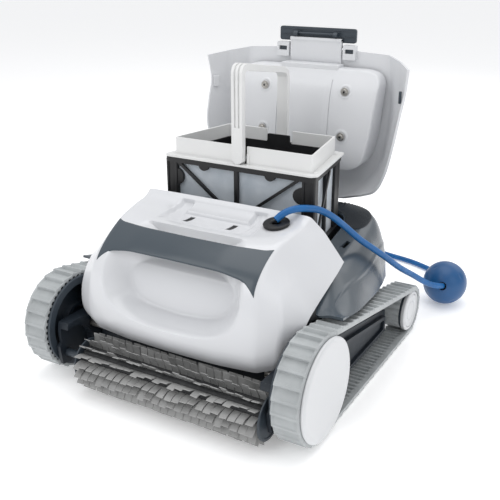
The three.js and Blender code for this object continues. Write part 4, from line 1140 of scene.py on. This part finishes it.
def make_basket_frame():
    """Black cage: rails, grooved corner posts, slanting braces, half-round lugs and an inner ring."""
    base, top = BASKET["base"], BASKET["flange"] - 0.3
    rail = rounded([(-105.6, -7), (101.8, -7), (84.3, 107.4), (-86.5, 107.4)], 5, True, 6)
    parts = [prism(rail, top - 6.5, top, "z", [taper(1, 2)]),
             prism(taper(6, 5), base, base + 10, "z", [taper(1, 2)]),
             prism(taper(-2.9, 2), top - 16, 249.5, "z", [taper(-5.0, 2)])]
    clip = rounded([(-19, 246), (19, 246), (16, 252), (16, 260), (-16, 260), (-16, 252)], 2)
    parts.append(prism(clip, 95.4, 98.2, "y"))
    for s in (-1, 1):
        wide = 5.0 if s < 0 else 1.0  # the left front post stands further out
        for x, y, width in ((91.5 + wide, -2.5, 17), (76.5, 103.5, 12)):
            post = rect(s * x - width / 2, s * x + width / 2, y - 2.4, y + 3.4, 1)
            parts.append(prism(post, base, top, "z"))
            for k in (-1, 1):
                edge = s * x + k * (width / 2 - 2.2)
                bead = rect(edge - 1.6, edge + 1.6, y - 3.6, y - 1.0, 0.8)
                parts.append(prism(bead, base + 4, top - 3, "z"))
        for share in (0.0, 0.49, 1.0):
            y, x = 3 + 94 * share, 97.3 - 16.9 * share
            deep = 4 if share in (0, 1) else 1.6
            parts.append(prism(rect(s * x - 2.2, s * x + 2.2, y - deep, y + deep), base, top, "z"))
        parts.append(bar_between((s * 85 + MIDDLE, 237), (s * 1 + MIDDLE, 174), 3.6, -5.6, -2.4))
        lug = half_ellipse((s * 46 + MIDDLE, top - 6), 7, -6.5, 18)
        parts.append(prism(lug, -5.4, -1.6, "y"))
        root, reach = (84.4, 11.6) if s > 0 else (-88.4, -8.4)
        for z in (217, 172):
            lobe = [(root - reach * math.sin(a), z + 10 * math.cos(a))
                    for a in np.linspace(0, math.pi, 14)]
            parts.append(prism(lobe, -5.2, -1.6, "y"))
        slant = [(21, 168), (49, 236), (52.5, 236), (24.5, 168)]
        parts.append(on_side(prism(slant, 92.3, 94.6, "x"), s))
    parts.append(block(MIDDLE - 2.6, MIDDLE + 2.6, -5.6, -1.4, base, top))
    parts.append(block(-2.2, 2.2, 102.4, 106.4, base, top))
    make("basket_cage", merge(*parts), "basket", "black_plastic", ["basket_frame"], bevel=0.4)


def make_basket_mesh():
    """Screen panels that billow slightly between the bars."""
    z = np.linspace(SCREEN["low"], SCREEN["high"], 40)[:, None]
    rise = np.sin((z - SCREEN["low"]) / (SCREEN["high"] - SCREEN["low"]) * math.pi)
    for name, y, half, sign in (("front", -0.4, 93, -1), ("back", 101.8, 75, 1)):
        x = np.linspace(-half, half, 90)[None, :]
        belly = np.abs(np.sin((x / half) * math.pi)) * rise
        grid = np.stack([x + 0 * z, y - sign * 1.4 * belly, z + 0 * x], -1)
        grid = grid if sign > 0 else grid[:, ::-1]
        make(f"screen_{name}", shell(grid, 0.7), "basket", "filter_mesh", [f"mesh_{name}"], smooth=60)
    y = np.linspace(3, 98, 70)[None, :]
    belly = np.abs(np.sin((y - 3) / 95 * 2 * math.pi)) * rise
    grid = np.stack([94.4 - 16 * (y - 3) / 95 - 1.2 * belly, y + 0 * z, z + 0 * y], -1)
    make_pair("screen", shell(grid, 0.7), "basket", "filter_mesh", "mesh", smooth=60)


def make_basket_floor():
    """Floor plate with a port, and the sprung inlet door over it."""
    base = BASKET["base"]
    plan = [(-92, 2.4), (92, 2.4), (75.5, 99.4), (-75.5, 99.4)]
    parts = [prism(plan, base, base + 3, "z", [rect(-38, 38, 24, 80, 6)]),
             prism(rect(-42, 42, 20, 84, 7), base + 2.6, base + 3.3, "z", [rect(-39, 39, 23, 81, 6)])]
    for s in (-1, 1):
        for x in (50, 62, 74):
            parts.append(block(s * x - 0.8, s * x + 0.8, 8, 92 - (x - 50) * 0.2, base + 2.8, base + 5.2))
        rest = [(80.5, 142), (87.5, 142), (88, 148), *half_ellipse(FLAP_PIN, 4, 4, 12), (80.5, 147)]
        parts.append(prism(rest, s * 30 - 3, s * 30 + 3, "x", [circle(FLAP_PIN, 1.9, 16)]))
    make("basket_base", merge(*parts), "basket", "black_plastic", ["basket_floor"], bevel=0.25)
    door = [prism(rect(-40, 40, 20, 79, 5), base + 3.4, base + 5.4, "z")]
    for k in range(5):
        door.append(block(-30, 30, 27 + 10 * k, 28.2 + 10 * k, base + 5.2, base + 6.6))
    for x in (-22, 22):
        knuckle = [(3.6, x - 4), (3.6, x + 4), (1.9, x + 4), (1.9, x - 4), (3.6, x - 4)]
        door += [lathe(knuckle, "x", FLAP_PIN, 24), block(x - 4, x + 4, 77, 81.5, 143.6, 147)]
    make("inlet_door", merge(*door), "flap", "black_plastic", ["inlet_flap"], bevel=0.25)


def handle_profile(pivot, top):
    """Side view of the arch, as (y, z): a tall front leg, a sloping top and a rear leg."""
    outer = [(-8.3, pivot - 4), (-8.3, top - 9), (-4.5, top - 1.6), (3, top), (99, top - 15),
             (107.5, top - 19.5), (110.6, top - 29), (110.6, pivot - 4)]
    inner = [(104.4, pivot - 4), (104.4, top - 28.5), (101, top - 23.4), (96, top - 22.3), (4, top - 8.6),
             (0.4, top - 9.6), (-0.6, top - 13), (-0.6, pivot - 4)]
    return rounded(outer, 7, False, 6) + rounded(inner, 4, False, 6)


def make_basket_handle():
    pivot, top, leg = HANDLE["pivot"], HANDLE["top"], HANDLE["leg"]
    arch = prism(handle_profile(pivot, top), -leg / 2, leg / 2, "x")
    arch = make("handle_arch", arch, "handle", "ivory_plastic", ["basket_handle"])
    path = [(-9, pivot + 36), (-9, top + 3), (24, top + 3), (24, top - 4.4), (3, top - 2.0),
            (-3.2, top - 3.6), (-6.1, top - 9), (-6.1, pivot + 36)]
    carve(arch, [prism(path, x - 1.05, x + 1.05, "x") for x in (-2.6, 2.6)])
    carve(arch, [block(-2.6, 2.6, 109.2, 114, z0, z1) for z0, z1 in ((268, 275), (258, 262))])
    ease_edges(arch, 0.7, 3, 40)
    r = leg / 2
    feet = []
    for low, high, bore in ((-8.45, -7.3, 0), (-7.3, -0.5, 2.4), (104.3, 112.15, 2.4)):
        foot = [(bore, low), (r - 0.5, low), (r, low + 0.5), (r, high - 0.5), (r - 0.5, high), (bore, high)]
        feet.append(lathe(foot if bore == 0 else foot + foot[:1], "y", (0, pivot), 48))
    make("handle_feet", merge(*feet), "handle", "ivory_plastic")


# ---------- base, side frames and inner pieces ----------
def make_side_panels():
    """Moulded infill between the wheels, with a stepped shelf round a sunk face."""
    lower = prism(rounded([(-72, 12), (104, 12), (104, 46), (-72, 82)], 4), 143.3, 156, "x")
    step = prism(rounded([(-62, 20), (94, 20), (94, 42), (-62, 70)], 4), 155, 161, "x",
                 [rounded([(-57, 25), (89, 25), (89, 37.5), (-57, 64)], 3)])
    face = prism(rounded([(-58, 24), (90, 24), (90, 38.5), (-58, 65)], 3), 155, 157, "x")
    make_pair("side_infill", merge(lower, step, face), "chassis", "navy_plastic", "side_panel", bevel=0.7)


# CAD nodes that show as they are, with their material.
KEPT = {
    "base_tub": "navy_plastic", "drive_motor_housing": "black_plastic", "pump_motor": "black_plastic",
    "impeller_duct": "navy_plastic", "impeller": "ivory_plastic", "brush_core": "navy_plastic",
    "latch_pin": "steel", "flap_pin": "steel",
    "side_frame_left": "navy_plastic", "side_frame_right": "navy_plastic",
    "brush_bush_left": "navy_plastic", "brush_bush_right": "navy_plastic",
    "drive_shaft_left": "steel", "drive_shaft_right": "steel",
    "rear_axle_left": "steel", "rear_axle_right": "steel",
}


def finish_kept_nodes():
    for name, material in KEPT.items():
        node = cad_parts[name]
        node.data.materials.clear()
        node.data.materials.append(LOOKS[material])


make_camera()
LOOKS = make_materials()
cable, cable_line = make_cable()
ball = make_float()
plug = make_connector()
strap = make_tie()
gland = make_gland()
make_studio()
make_hood()
make_handle_band()
make_belts()
make_front_wheels()
make_rear_wheels()
make_brush()
make_rear_cover()
make_hinge()
make_lid()
make_liner()
make_screws()
make_latch()
make_collar()
make_basket_frame()
make_basket_mesh()
make_basket_floor()
make_basket_handle()
make_side_panels()
finish_kept_nodes()
